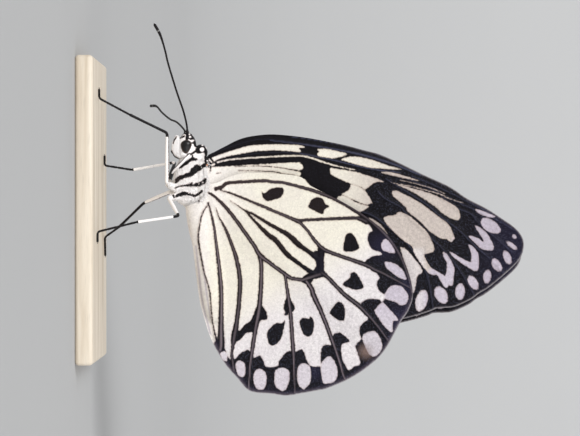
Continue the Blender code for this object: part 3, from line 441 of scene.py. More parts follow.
# Blue-grey scales along the front edge of the forewing
FORE_BLUE_LINES = on_wing({
    "costal_band": ((270, 140.5, 1.5), (300, 144, 2), (320, 147, 2.2), (340, 150.5, 2), (360, 154.5, 3),
                    (380, 160, 3), (396, 165, 2.5), (420, 175, 2)),
    "radius_line": ((300, 153.5, 1.5), (315, 156.5, 1.8), (330, 159.5, 1.8), (345, 163, 2),
                    (360, 166.5, 2), (375, 169.5, 1.8), (400, 172.5, 1.5)),
    "edge_line": ((290, 137, 0.8), (305, 138.7, 1), (330, 143, 1), (350, 147, 1), (370, 152, 1),
                  (390, 159, 1)),
})

# Dark strokes and blots on the side of the body, then the pale dots and the dash in them
BODY_STROKES = on_body({
    "crown": ((180.7, 138, 1.2), (180.8, 136, 1.2), (182, 134.4, 1.2), (184.5, 133.4, 1.2), (187, 134, 1.4)),
    "crown_fleck": ((182.2, 137.4, 1), (184, 136.4, 1.3)),
    "feeler_root": ((187.5, 132.5, 2.4), (187.5, 135.5, 2.2), (187.2, 138.5, 2.4), (187.5, 141, 3)),
    "eye_rim": ((189, 140.6, 1), (191, 143, 1), (193, 143, 1.2), (195, 143.5, 1.4)),
    "cheek_line": ((188.3, 154.5, 1.1), (191, 154.3, 1.3), (193.5, 153, 1.3), (196.3, 150.8, 1.4)),
    "bar_stem": ((192.7, 155.8, 0.8), (192.9, 157.8, 1.2)),
    "lobe_edge": ((187.5, 155.8, 0.9), (185.5, 158.3, 0.7)),
    "third_line": ((186, 185.6, 0.9), (180, 186.6, 0.6), (175.5, 188.2, 0.5)),
    "fourth_bar": ((202, 191.2, 1.7), (200.4, 193, 1.6), (197.5, 194.8, 1.7), (195, 196, 2.2),
                   (193, 195.2, 1.6), (190, 194.7, 1.5), (187, 193.9, 2.4), (184, 193.6, 3),
                   (181, 194.6, 2.6), (178.5, 195.2, 2.8), (177, 196.3, 1.6)),
    "leg_spot": ((173.4, 195.5, 1), (174.7, 197.5, 1)),
    "rear_spot": ((199.3, 201.3, 1.4), (199.4, 201.2, 1.4)),
})
BODY_BLOTS = on_body({
    "first_bar": ((197.8, 159.4), (194.5, 158.2), (192.6, 157), (191.5, 158.4), (189, 160), (186, 162),
                  (183, 164.4), (180.5, 166.5), (179.8, 167.9), (181.5, 168.1), (183.5, 166.6),
                  (185.5, 165.2), (187.5, 164.4), (189.5, 162.2), (192.5, 160.8), (196, 160.6)),
    "second_bar": ((207, 164), (205.5, 163.7), (203, 164.6), (201, 166.5), (198, 165), (196, 165.3),
                   (194, 167.5), (192, 168.7), (191, 170.6), (190, 172.6), (186.5, 173.6), (184, 175.1),
                   (180, 176.1), (177.5, 177.6), (175.6, 179.5), (175.4, 181.3), (176.3, 183),
                   (179.5, 180.6), (183, 179.1), (187, 177.2), (191, 176.4), (194.5, 174.6), (197, 172.4),
                   (200, 170.8), (202.5, 168.6), (205.5, 166.6)),
    "third_bar": ((206.5, 178.5), (204.5, 179.4), (202, 181.6), (198, 183.4), (196.5, 183.1), (194.5, 184.8),
                  (193, 184.6), (192.5, 182.8), (190.5, 183.6), (188, 184.6), (185, 185.5), (188, 186.3),
                  (193, 186.4), (199.5, 186.4), (202, 184.9), (205, 184.1), (206, 182.2), (206.8, 179.2)),
    "neck": ((193, 137), (194.5, 138.2), (196.5, 141.2), (199.5, 142.8), (203, 144), (205, 147), (207, 150.3),
             (210, 153.3), (209.2, 157), (208.6, 161), (207, 163.5), (205.5, 164.8), (205, 160), (205.2, 154),
             (203, 152.4), (200, 153.3), (197.5, 153.2), (196, 151.4), (195.8, 149.3), (197, 147.6),
             (195, 146.4), (194, 143.8), (194, 141)),
    "nape": ((188.6, 133), (190.5, 133), (192.2, 135.2), (194.3, 138.2), (194.4, 141), (193.2, 139.4),
             (191, 140), (188.8, 139), (188.3, 136)),
})
BODY_SPREAD = 0.07  # how much wider the dark strokes and blots are drawn than they were read
BODY_DOTS = from_photo((
    (202.3, 149.7, 2.2), (202.7, 145.2, 1), (200.6, 143.6, 0.6), (189.5, 134.3, 0.75), (190.3, 137, 1.15),
    (207.5, 161.3, 0.7), (203.3, 182.4, 0.7), (199.3, 184, 0.5), (202, 167.4, 0.5)))
BODY_DASH = from_photo(((189, 139.9, 1.3), (190.6, 141.3, 1.5), (192.4, 141.6, 1.5), (193.8, 140.4, 1.2)))
ORANGE_DOT = from_photo(((207.3, 165, 0.8),))[0]
PALP_STROKES = on_body({
    "front": ((176.6, 137.2, 1), (174.6, 140, 1.1), (173.5, 143.8, 0.9)),
    "lower": ((172.2, 151.3, 1), (173.3, 154.5, 1.4), (176, 157.3, 1.4), (179.8, 159.2, 1)),
})

# Stage: where each light stands in metres, its spread in degrees, and its share of the main light's strength
LIGHTS = {
    "main_light": ((-0.45, -0.8, 0.5), 28, 1.0),
    "fill_light": ((0.6, -0.6, 0.3), 60, 0.45),
    "back_light": ((0.3, 0.7, 0.8), 40, 0.3),
}
ROOM_LIGHT = 0.63
VIEW_MIDDLE, VIEW_WIDTH = (0.0015, 0.0415), 0.116  # X and Z in the picture's middle, and its width, in metres
SENSOR_WIDTH = 36


class WingSettings(bpy.types.PropertyGroup):
    pitch: FloatProperty(
        name="Mesh pitch", description="Width of one face of a wing", default=0.2 * MM, unit="LENGTH")
    membrane: FloatProperty(
        name="Membrane", description="Thickness between the veins", default=0.18 * MM, unit="LENGTH")
    vein: FloatProperty(
        name="Vein", description="Thickness along the veins", default=0.52 * MM, unit="LENGTH")
    cream: FloatVectorProperty(
        name="Cream", description="Pale scales of the inner half", subtype="COLOR",
        default=shade(242, 237, 223))
    # Also painted along the hindwing's lower edge, as light on the shade where the wing curves round the
    # abdomen
    root: FloatVectorProperty(
        name="Root white", description="Pale scales at the root", subtype="COLOR",
        default=shade(248, 243, 237))
    lilac: FloatVectorProperty(
        name="Lilac white", description="Pale scales of the outer half", subtype="COLOR",
        default=shade(238, 233, 234))
    margin: FloatVectorProperty(
        name="Margin lilac", description="Pale spots along the margin", subtype="COLOR",
        default=shade(210, 202, 214))
    # Painted shade for the hindwing's folds and root; the same grey also makes the forewing's tip greyer
    fold: FloatVectorProperty(
        name="Fold grey", description="Folds of the hindwing's rear edge", subtype="COLOR",
        default=shade(176, 166, 180))
    beige: FloatVectorProperty(
        name="Beige", description="Pale scales of the outer forewing", subtype="COLOR",
        default=shade(211, 200, 192))
    black: FloatVectorProperty(
        name="Black", description="Dark scales", subtype="COLOR", default=shade(14, 11, 15))
    grey: FloatVectorProperty(
        name="Worn grey", description="Middles of the veins, and the margin", subtype="COLOR",
        default=shade(128, 115, 121))
    brown: FloatVectorProperty(
        name="Vein brown", description="Dark scales near the root", subtype="COLOR",
        default=shade(72, 54, 50))
    worn: FloatVectorProperty(
        name="Worn", description="Worn place in the hindwing's border", subtype="COLOR",
        default=shade(138, 116, 108))
    blue: FloatVectorProperty(
        name="Blue grey", description="Crests of the forewing's veins", subtype="COLOR",
        default=shade(76, 78, 100))
    violet: FloatVectorProperty(
        name="Violet", description="Sheen near the margins", subtype="COLOR", default=shade(50, 46, 78))


class BodySettings(bpy.types.PropertyGroup):
    voxel: FloatProperty(
        name="Skin detail", description="Width of one face of the skin", default=0.1 * MM, unit="LENGTH")
    coat_depth: FloatProperty(
        name="Coat depth", description="How far the skin lies inside the solids", default=0.14 * MM,
        unit="LENGTH")
    tuft_length: FloatProperty(
        name="Tuft length", description="Length of the thorax's tufts", default=0.46 * MM, unit="LENGTH")
    tufts: IntProperty(name="Tufts", description="Number of tufts on the body", default=11000)
    head_tufts: IntProperty(name="Head tufts", description="Number of tufts on the head", default=5000)
    fringe: IntProperty(name="Fringe", description="Number of tufts over the wings' roots", default=1100)
    white: FloatVectorProperty(
        name="White", description="Pale scales of the body", subtype="COLOR", default=shade(255, 252, 251))
    black: FloatVectorProperty(
        name="Black", description="Dark scales of the body", subtype="COLOR", default=shade(15, 12, 15))
    brown: FloatVectorProperty(
        name="Brown", description="Worn lower ends of the dark bars", subtype="COLOR",
        default=shade(92, 74, 66))
    orange: FloatVectorProperty(
        name="Orange", description="Dot at the wing root", subtype="COLOR", default=shade(232, 150, 90))
    eye: FloatVectorProperty(
        name="Eye", description="Facets of the eye", subtype="COLOR", default=shade(14, 12, 13))


class StageSettings(bpy.types.PropertyGroup):
    wood: FloatVectorProperty(
        name="Wood", description="Base", subtype="COLOR", default=shade(224, 213, 196))
    floor: FloatVectorProperty(
        name="Floor", description="Floor and backdrop", subtype="COLOR", default=shade(182, 183, 184))
    light: FloatProperty(name="Light", description="Strength of the main light", default=1.86)
    camera_distance: FloatProperty(
        name="Camera distance", description="From the camera to the butterfly", default=0.55, unit="LENGTH")


def deselect():
    if bpy.context.object and bpy.context.object.mode != "OBJECT":
        bpy.ops.object.mode_set(mode="OBJECT")
    bpy.ops.object.select_all(action="DESELECT")


def active(piece):
    deselect()
    piece.select_set(True)
    bpy.context.view_layer.objects.active = piece


def places(piece):
    """The mesh's points in millimetres."""
    values = np.empty(len(piece.data.vertices) * 3)
    piece.data.vertices.foreach_get("co", values)
    return values.reshape(-1, 3) / MM


def place(piece, points):
    piece.data.vertices.foreach_set("co", (np.asarray(points, float) * MM).ravel())
    piece.data.update()


def apply(piece, kind, **settings):
    active(piece)
    step = piece.modifiers.new(kind.title(), kind)
    for name, value in settings.items():
        setattr(step, name, value)
    bpy.ops.object.modifier_apply(modifier=step.name)


def join(pieces, name):
    """These pieces as one object, with the first one's name changed to this."""
    active(pieces[0])
    for piece in pieces:
        piece.select_set(True)
    bpy.ops.object.join()
    pieces[0].name = name
    return pieces[0]


def finish(piece, material, replaces=()):
    """Smooth shading, the material, and the piece's place in the shared frame."""
    active(piece)
    bpy.ops.object.shade_smooth()
    piece.data.materials.clear()
    piece.data.materials.append(material)
    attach(piece, "root")
    if replaces:
        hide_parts(*replaces)
    return piece


def store(piece, name, values):
    """Values for each point of the mesh: one number each, or a colour each."""
    values = np.asarray(values, float)
    if values.ndim == 1:
        attribute = piece.data.attributes.new(name, "FLOAT", "POINT")
        attribute.data.foreach_set("value", values)
    else:
        attribute = piece.data.attributes.new(name, "FLOAT_COLOR", "POINT")
        colours = np.column_stack([values, np.ones(len(values))])
        attribute.data.foreach_set("color", colours.ravel())


def dress(piece, mark, ground, ink):
    """Markings: black where mark is below 0, pale in the ground colour and dark in the ink colour."""
    store(piece, "mark", mark)
    store(piece, "ground", ground)
    store(piece, "ink", ink)


def all_over(colour, points):
    """The same colour for each of these points."""
    return np.tile(colour, (len(points), 1))


def dress_dark(piece, settings, ink=None):
    """Dark scales alone, in the ink's colours or else in black."""
    points = places(piece)
    if ink is None:
        ink = all_over(settings.black, points)
    dress(piece, np.full(len(points), -FAR), all_over(settings.white, points), ink)


def mirrored(points, side):
    """Points of the right side as they lie on this side, which is 1 for right and -1 for left."""
    points = np.array(points, float)
    points[:, 1] *= side
    return points


def smooth_line(points, step=None, closed=False):
    """A smooth curve through these points, with its points about a step apart if one is given."""
    given = np.array(points, float)
    if closed:
        padded = np.vstack([given[-1:], given, given[:2]])
    else:
        padded = np.vstack([2 * given[0] - given[1], given, 2 * given[-1] - given[-2]])
    fine = []
    for a, b, c, d in zip(padded, padded[1:], padded[2:], padded[3:]):
        t = np.linspace(0, 1, 6, endpoint=False)[:, None]
        square, cube = 2 * a - 5 * b + 4 * c - d, 3 * b - a - 3 * c + d
        fine.append(0.5 * (2 * b + (c - a) * t + square * t**2 + cube * t**3))
    fine = np.vstack(fine if closed else [*fine, given[-1:]])
    return evenly(fine, step) if step else fine


def lengths_along(line):
    return np.concatenate([[0], np.cumsum(np.linalg.norm(np.diff(line, axis=0), axis=1))])


def evenly(line, step):
    along = lengths_along(line)
    count = max(2, round(along[-1] / step) + 1)
    return at(line, along, np.linspace(0, along[-1], count))


def at(line, along, wanted):
    return np.column_stack([np.interp(wanted, along, column) for column in line.T])


def bent_line(corners, bend, step):
    """A line through these corners with each corner rounded from this far on both sides."""
    corners = [np.array(corner, float) for corner in corners]
    fine = [corners[0]]
    for before, corner, after in zip(corners, corners[1:], corners[2:]):
        into, out = before - corner, after - corner
        reach = min(bend, 0.45 * np.linalg.norm(into), 0.45 * np.linalg.norm(out))
        start = corner + reach * into / np.linalg.norm(into)
        end = corner + reach * out / np.linalg.norm(out)
        for t in np.linspace(0, 1, 7):
            fine.append((1 - t) ** 2 * start + 2 * t * (1 - t) * corner + t**2 * end)
    fine.append(corners[-1])
    return evenly(np.array(fine), step)


def eased(value):
    value = np.clip(value, 0, 1)
    return value * value * (3 - 2 * value)


def near_to(points, shape):
    """The numbers of the points that lie within reach of the shape's box."""
    low, high = shape[:, :2].min(axis=0) - FAR, shape[:, :2].max(axis=0) + FAR
    return np.flatnonzero(((points > low) & (points < high)).all(axis=1))


def line_distance(points, line):
    """How far each point is from the line, and the line's half width at the nearest place."""
    away, half = np.full(len(points), FAR), np.zeros(len(points))
    near = near_to(points, line)
    close = points[near]
    best, widths = np.full(len(near), FAR), np.zeros(len(near))
    for a, b in zip(line, line[1:]):
        span = b - a
        share = np.clip((close - a[:2]) @ span[:2] / max(span[:2] @ span[:2], 1e-9), 0, 1)
        gone = np.linalg.norm(close - a[:2] - share[:, None] * span[:2], axis=1)
        closer = gone < best
        best[closer] = gone[closer]
        if len(a) > 2:
            widths[closer] = (a[2] + share * span[2])[closer] / 2
    away[near], half[near] = best, widths
    return away, half


def inside(points, rim):
    """True for the points inside the closed line, by counting the sides that a ray crosses."""
    odd = np.zeros(len(points), bool)
    for a, b in zip(rim, np.roll(rim, -1, axis=0)):
        if a[1] == b[1]:
            continue
        spans = (a[1] > points[:, 1]) != (b[1] > points[:, 1])
        crossed = a[0] + (points[:, 1] - a[1]) * (b[0] - a[0]) / (b[1] - a[1])
        odd ^= spans & (points[:, 0] < crossed)
    return odd


def stroke(points, line):
    """Distance to the edge of a painted line, below 0 inside it."""
    away, half = line_distance(points, smooth_line(line))
    return away - half


def signed_distance(points, rim):
    """Distance to a closed line, below 0 inside it."""
    result = np.full(len(points), FAR)
    near = near_to(points, rim)
    away, _ = line_distance(points[near], np.vstack([rim, rim[:1]]))
    result[near] = np.where(inside(points[near], rim), -away, away)
    return result


def patch(points, rim):
    return signed_distance(points, smooth_line(rim, closed=True))


def oval(points, middle, half_length, half_width, turn):
    """About the distance to an oval whose length is turned from up towards back."""
    angle = math.radians(turn)
    off = points - middle
    length = off @ (math.sin(angle), math.cos(angle)) / half_length
    width = off @ (math.cos(angle), -math.sin(angle)) / half_width
    return (np.hypot(length, width) - 1) * half_width


def blend(first, second, share):
    share = np.clip(share, 0, 1)[:, None]
    return np.asarray(first) * (1 - share) + np.asarray(second) * share


def joined(first, second, reach=0.4):
    """The smaller of two distances, with the corner between the shapes filled in."""
    share = np.clip(0.5 + 0.5 * (second - first) / reach, 0, 1)
    return second + (first - second) * share - reach * share * (1 - share)


def hindwing_marks(points):
    mark = np.full(len(points), FAR)
    for line in HIND_VEINS.values():
        mark = joined(mark, stroke(points, line))
    for rim in HIND_BLOTS.values():
        mark = np.minimum(mark, patch(points, rim))
    mark = np.minimum(mark, patch(points, HIND_BORDER))
    for rim in HIND_WINDOWS.values():
        mark = np.maximum(mark, -patch(points, rim))
    return mark


def forewing_marks(points):
    mark = -patch(points, FORE_CELL)
    for rim in FORE_PATCHES.values():
        mark = np.maximum(mark, -patch(points, rim))
    for across, down, *sizes, turn in FORE_OVALS:
        middle = from_wing(((across, down),))[0]
        half_length, half_width = np.array(sizes) / PIXELS_A_MM
        mark = np.maximum(mark, -oval(points, middle, half_length, half_width, turn))
    for line in FORE_PALE_LINES.values():
        mark = np.maximum(mark, -stroke(points, line))
    for line in FORE_DARK_LINES.values():
        mark = np.minimum(mark, stroke(points, line))
    return mark


def crest_depth(points, lines, width=None):
    """How near each point is to the middle of a vein: 1 on it, 0 at its edge and beyond."""
    depth = np.zeros(len(points))
    for line in lines.values():
        away, half = line_distance(points, smooth_line(line))
        reach = half if width is None else width / 2
        depth = np.maximum(depth, 1 - away / np.maximum(reach, 0.05))
    return np.clip(depth, 0, 1)


def glow(points, spots):
    """How near each point is to the nearest of these spots: 1 at its middle, 0 beyond its reach."""
    near = [1 - np.hypot(points[:, 0] - x, points[:, 1] - z) / reach for x, z, reach in spots]
    return eased(np.max(near, axis=0))


def vein_wear(points):
    """How grey the dark lines are worn: most along their middles, and less at the cell's end and the root."""
    worn = np.zeros(len(points))
    for name, line in HIND_VEINS.items():
        core = eased((crest_depth(points, {name: line}) - 0.45) / 0.55)
        worn = np.maximum(worn, WEAR.get(name, VEIN_WEAR) * core)
    return worn * (1 - glow(points, CELL_END)) * (1 - 0.85 * glow(points, PLAIN_ROOT))


def hindwing_colours(points, margin, settings):
    """Ground, ink and dust: the colours of pale and dark scales, and how far stray scales are strewn."""
    back, up = points.T
    outward = 0.45 * up + 0.8 * back
    rear = eased((back - 20) / 6)
    ground = blend(settings.cream, settings.lilac, eased((outward - 20) / 10))
    in_border = eased((0.4 - patch(points, HIND_BORDER)) / 0.8)
    ground = blend(ground, settings.margin, in_border * (1 - 0.4 * eased((back - 24) / 8)))
    ground = blend(ground, settings.worn, 0.5 * glow(points, WORN_PLACE))
    ground = blend(ground, settings.root, glow(points, HIND_ROOT))
    # The pale scales along the lower edge, painted whiter still as light on the shade where the wing curves
    # round the abdomen
    ground = blend(ground, settings.root, 0.8 * eased((0.4 + 0.03 * back - up) / 1.5) * (back > 4))
    # Painted shade along the folds of the rear edge and at the root
    for line in HIND_FOLD_SHADES.values():
        ground = blend(ground, settings.fold, 0.75 * eased(0.6 - stroke(points, line) / 0.35))
    on_vein = eased(6 * crest_depth(points, HIND_VEINS))
    ink = blend(settings.black, settings.brown, 0.3 * on_vein * glow(points, BROWN_ROOT))
    ink = blend(ink, settings.brown, 0.16 * eased((24 - outward) / 8))
    sheen = np.maximum(0.35 * glow(points, VIOLET_PLACES), 0.12 * glow(points, CELL_END))
    ink = blend(ink, settings.violet, sheen)
    ink = blend(ink, settings.grey, 0.45 * eased(1 - margin / 0.9) * rear)
    ink = blend(ink, settings.violet, 0.3 * eased(1 - margin / 1.5) * rear)
    ink = blend(ink, settings.worn, 0.9 * glow(points, WORN_PLACE))
    ink = blend(ink, settings.grey, vein_wear(points))
    ink = blend(ink, settings.lilac, 0.45 * eased(1 - margin / 0.22) * rear)
    return ground, ink, 0.2 + 0.8 * eased((outward - 22) / 12)


def forewing_colours(points, margin, settings):
    """Ground, ink and dust, as for the hindwing."""
    back, up = points.T
    outer = eased((up - 20) / 20)
    ground = blend(settings.cream, settings.beige, eased((up - 24) / 12))
    ground = blend(ground, settings.margin, eased((back + 1.3 * (up - 44) - 17.4) / 2))
    ground = blend(ground, settings.lilac, 0.6 * eased((back - 13) / 1.5) * eased((44 - up) / 1.5))
    ground = blend(ground, settings.cream, 0.75 * eased((-1 - back) / 2) * (up > 20))
    ground = blend(ground, settings.root, glow(points, FORE_ROOT))
    ground = blend(ground, settings.fold, 0.3 * eased((up - 50) / 6))
    crest = eased(1.5 * crest_depth(points, FORE_CRESTS, CREST_WIDTH))
    ink = blend(settings.black, settings.blue, (0.1 + 0.25 * eased((up - 12) / 15)) * crest)
    ink = blend(ink, settings.violet, 0.3 * eased((up - 50) / 12))
    ink = blend(ink, settings.grey, 0.25 * eased(1 - margin / 0.5) * outer)
    ink = blend(ink, settings.blue, 0.55 * eased(1.6 * crest_depth(points, FORE_BLUE_LINES)))
    ink = blend(ink, settings.lilac, 0.4 * eased(1 - margin / 0.2) * outer)
    dust = 0.15 + 0.85 * eased((up - 22) / 20)
    return ground, ink, dust + 1.6 * glow(points, SPECKED_ENDS)


BODY_LINE = smooth_line(BODY, 0.2)


def body_middle(x):
    """The height of the body's middle at these places."""
    return np.interp(x, BODY_LINE[:, 0], BODY_LINE[:, 1])


def body_cover(x, z):
    """How far from the middle a wing lies that wraps the body's side and runs off above and below."""
    half_height, half_width = [np.interp(x, BODY_LINE[:, 0], BODY_LINE[:, i]) for i in (2, 3)]
    middle = body_middle(x)
    off = np.abs(z - middle) / (half_height + COVER_ROOM)
    wrap = np.sqrt(np.maximum(0, 1 - off**2))
    run_off = math.sqrt(1 - WRAP_SHARE**2) * np.exp((WRAP_SHARE - off) / WRAP_FADE)
    side = np.where(off < WRAP_SHARE, wrap, run_off)
    return (half_width + COVER_ROOM * np.minimum(1, half_width)) * side


def larger(a, b):
    return (a**5 + b**5) ** 0.2


def forewing_y(x, z):
    return larger(FORE_PLANE, body_cover(x, z))


def hindwing_y(x, z):
    back, up = x - JOINT_X, z - JOINT_Z
    rear_back, rear_up = FOREWING_OUTLINE[1][0]
    behind_forewing = (back * rear_up - up * rear_back) / math.hypot(rear_back, rear_up)
    closed = eased((behind_forewing - CLOSING_START) / HIND_CLOSING)
    plane = HIND_PLANE + (HIND_CLOSED - HIND_PLANE) * closed
    over_forewing = (HIND_PLANE - FORE_PLANE) * eased((up - OVER_START) / OVER_RISE)
    over_forewing = over_forewing * (1 - eased((behind_forewing - SETTLING_START) / HIND_CLOSING))
    return larger(plane, body_cover(x, z) + over_forewing)


def flat_wing(name, outline, pitch):
    """A fine flat grid cut to the outline, with its border moved onto the outline."""
    rim = np.vstack([smooth_line(run, 0.4)[:-1] for run in outline])
    low, high = rim.min(axis=0) - pitch, rim.max(axis=0) + pitch
    counts = np.ceil((high - low) / pitch).astype(int)
    deselect()
    bpy.ops.mesh.primitive_grid_add(x_subdivisions=int(counts[0]), y_subdivisions=int(counts[1]), size=2)
    piece = bpy.context.object
    piece.name = name
    unit = places(piece)[:, :2] * MM
    flat = low + (unit + 1) / 2 * (high - low)
    distance = np.where(inside(flat, rim), -FAR, FAR)
    near = np.zeros(len(flat), bool)
    for a, b in zip(rim, np.roll(rim, -1, axis=0)):
        near |= (np.abs(flat - (a + b) / 2) < 0.3 + 2 * pitch).all(axis=1)
    distance[near] = signed_distance(flat[near], rim)
    place(piece, np.column_stack([flat, np.zeros(len(flat))]))
    cut_away(piece, distance > pitch / 2)
    flat = places(piece)[:, :2]
    edge = border(piece)
    flat[edge] = nearest_on(flat[edge], rim)
    margin, _ = line_distance(flat, np.vstack([rim, rim[:1]]))
    return piece, flat, margin


def cut_away(piece, chosen):
    """Deletes the chosen points with their faces, and the points that this leaves loose."""
    active(piece)
    for parts in (piece.data.polygons, piece.data.edges):
        parts.foreach_set("select", np.zeros(len(parts), bool))
    piece.data.vertices.foreach_set("select", chosen)
    bpy.ops.object.mode_set(mode="EDIT")
    bpy.ops.mesh.select_mode(type="VERT")
    bpy.ops.mesh.delete(type="VERT")
    bpy.ops.mesh.select_all(action="SELECT")
    bpy.ops.mesh.delete_loose()
    bpy.ops.object.mode_set(mode="OBJECT")


def border(piece):
    """The numbers of the points on the mesh's open edge."""
    active(piece)
    bpy.ops.object.mode_set(mode="EDIT")
    bpy.ops.mesh.select_mode(type="VERT")
    bpy.ops.mesh.select_all(action="DESELECT")
    bpy.ops.mesh.select_non_manifold(extend=False)
    bpy.ops.object.mode_set(mode="OBJECT")
    chosen = np.zeros(len(piece.data.vertices), bool)
    piece.data.vertices.foreach_get("select", chosen)
    return np.flatnonzero(chosen)


def nearest_on(points, rim):
    """The place on the closed line that is nearest to each point."""
    best, found = np.full(len(points), np.inf), np.array(points)
    for a, b in zip(rim, np.roll(rim, -1, axis=0)):
        span = b - a
        share = np.clip((points - a) @ span / (span @ span), 0, 1)
        spot = a + share[:, None] * span
        away = np.linalg.norm(points - spot, axis=1)
        closer = away < best
        best[closer], found[closer] = away[closer], spot[closer]
    return found


def make_wing_pair(kind, outline, paint, ridges, sheet, right_turn, material, settings):
    """A left and a right wing from one flat painted sheet, bent into place, with raised veins."""
    marks, colours = paint
    flat_piece, flat, margin = flat_wing(f"{kind}_flat", outline, settings.pitch / MM)
    ground, ink, dust = colours(flat, margin, settings)
    dress(flat_piece, marks(flat), ground, ink)
    store(flat_piece, "dust", dust)
    rise = eased(1.2 * crest_depth(flat, *ridges))
    for name, side in SIDES.items():
        piece = flat_piece.copy()
        piece.data = flat_piece.data.copy()
        bpy.context.collection.objects.link(piece)
        piece.name = f"{kind}_{name}_scaled"
        angle = math.radians(right_turn if name == "right" else 0.0)
        back = flat[:, 0] * math.cos(angle) + flat[:, 1] * math.sin(angle)
        up = flat[:, 1] * math.cos(angle) - flat[:, 0] * math.sin(angle)
        x, z = JOINT_X + back, JOINT_Z + up
        place(piece, np.column_stack([x, side * sheet(x, z), z]))
        group = piece.vertex_groups.new(name="veins")
        for number, weight in enumerate(rise):
            if weight > 0:
                group.add([number], weight, "REPLACE")
        apply(piece, "SOLIDIFY", thickness=settings.vein, offset=0, vertex_group="veins",
              thickness_vertex_group=settings.membrane / settings.vein)
        finish(piece, material, [f"{kind}_{name}"])
        bpy.ops.object.shade_smooth_by_angle(angle=math.radians(50))
    bpy.data.objects.remove(flat_piece)


def make_wings(settings):
    material = wing_material()
    make_wing_pair("forewing", FOREWING_OUTLINE, (forewing_marks, forewing_colours),
                   (FORE_CRESTS, FORE_RIDGE), forewing_y, RIGHT_FORE_TURN, material, settings)
    make_wing_pair("hindwing", HINDWING_OUTLINE, (hindwing_marks, hindwing_colours),
                   (HIND_VEINS, HIND_RIDGE), hindwing_y, 0.0, material, settings)


def sweep(name, line, half_up, half_out, segments=24):
    """A closed skin round a line, from a sphere whose rings are spread along it.

    The half sizes are arrays with one value for each point of the line. Returns the object with each
    point's share of the way along the line and its angle, which is 0 on the upper side.
    """
    rings = len(line) + 1
    deselect()
    bpy.ops.mesh.primitive_uv_sphere_add(segments=segments, ring_count=rings, radius=1)
    piece = bpy.context.object
    piece.name = name
    unit = places(piece) * MM
    ring = np.rint(np.arccos(np.clip(unit[:, 2], -1, 1)) / math.pi * rings)
    around = np.arctan2(unit[:, 1], unit[:, 0])
    spot = np.clip(ring - 1, 0, len(line) - 1).astype(int)
    ahead = np.gradient(line, axis=0)
    ahead /= np.linalg.norm(ahead, axis=1)[:, None]
    out = side_axis(line)
    out = out - (ahead @ out)[:, None] * ahead
    out /= np.linalg.norm(out, axis=1)[:, None]
    up = np.cross(ahead, out)
    up *= np.where(up[:, 2:].sum() < 0, -1, 1)
    tip = (ring == 0) | (ring == rings)
    rise = np.where(tip, 0, half_up[spot] * np.cos(around))
    wide = np.where(tip, 0, half_out[spot] * np.sin(around))
    end = np.where(ring == 0, -1, np.where(ring == rings, 1, 0)) * half_up[spot] * 0.5
    points = line[spot] + up[spot] * rise[:, None] + out[spot] * wide[:, None] + ahead[spot] * end[:, None]
    place(piece, points)
    a, b, c = triangles(piece)
    if (a * np.cross(b, c)).sum() < 0:  # the volume, which is below 0 when the faces look inward
        piece.data.flip_normals()
    return piece, spot / max(1, len(line) - 1), around


def triangles(piece):
    """The first, second and third corners of all the mesh's triangles."""
    data = piece.data
    data.calc_loop_triangles()
    corners = np.empty(len(data.loop_triangles) * 3, np.int32)
    data.loop_triangles.foreach_get("vertices", corners)
    return places(piece)[corners.reshape(-1, 3).T]


def side_axis(line):
    """The direction that the line strays least from its own plane, pointing along Y where it can."""
    centred = line - line.mean(axis=0)
    least = np.linalg.svd(centred, full_matrices=True)[2][2]
    straight = np.linalg.svd(centred, compute_uv=False)[1] < 0.05
    if straight:
        least = np.array([0.0, 1.0, 0.0])
    return least * (-1 if least[1] < 0 else 1)


def section_body(name, stations, inset, step):
    """A body along X from its sections, kept this far inside them."""
    line = smooth_line(stations, step)
    middle = np.column_stack([line[:, 0], np.zeros(len(line)), line[:, 1]])
    half_up, half_out = np.maximum(line[:, 2:] - inset, 0.05).T
    return sweep(name, middle, half_up, half_out, 48)[0]


def lump(name, centre, size):
    """An egg shape from its middle and its three half sizes."""
    deselect()
    bpy.ops.mesh.primitive_uv_sphere_add(segments=24, ring_count=16, radius=1)
    piece = bpy.context.object
    piece.name = name
    place(piece, places(piece) * MM * size + centre)
    return piece


def make_skin(settings):
    """Head, neck, thorax and abdomen as one skin, with its markings."""
    parts = [
        section_body("trunk", BODY, settings.coat_depth / MM, 0.25),
        section_body("skull", HEAD, SKULL_INSET, 0.2),
        section_body("collar", COLLAR, SKULL_INSET, 0.2)]
    for side in SIDES.values():
        for name, ((x, y, z), size) in LUMPS.items():
            parts.append(lump(name, (x, side * y, z), size))
    for name in LEGS:
        line = evenly(leg_corners(name)[:2], 0.25)
        radii = np.linspace(0.85, 0.5, len(line))
        parts.append(sweep("hip", line, radii, radii, 20)[0])
    skin = join(parts, "body_skin")
    apply(skin, "REMESH", mode="VOXEL", voxel_size=settings.voxel, use_smooth_shade=True)
    apply(skin, "SMOOTH", factor=0.5, iterations=6)
    points = places(skin)
    x, y, z = points.T
    middle = body_middle(x)
    off_groove = (x - GROOVE_START) % GROOVE_SPACING - GROOVE_SPACING / 2
    grooves = GROOVE_DEPTH * np.exp(-(off_groove / 0.25) ** 2) * eased((x + 0.5) / 1.5)
    scale = 1 - grooves / 1.6
    points[:, 1] = y * scale
    points[:, 2] = middle + (z - middle) * scale
    place(skin, points)
    dress(skin, *body_paint(points, settings))
    return finish(skin, body_material(), ["head", "prothorax", "thorax", "abdomen"])


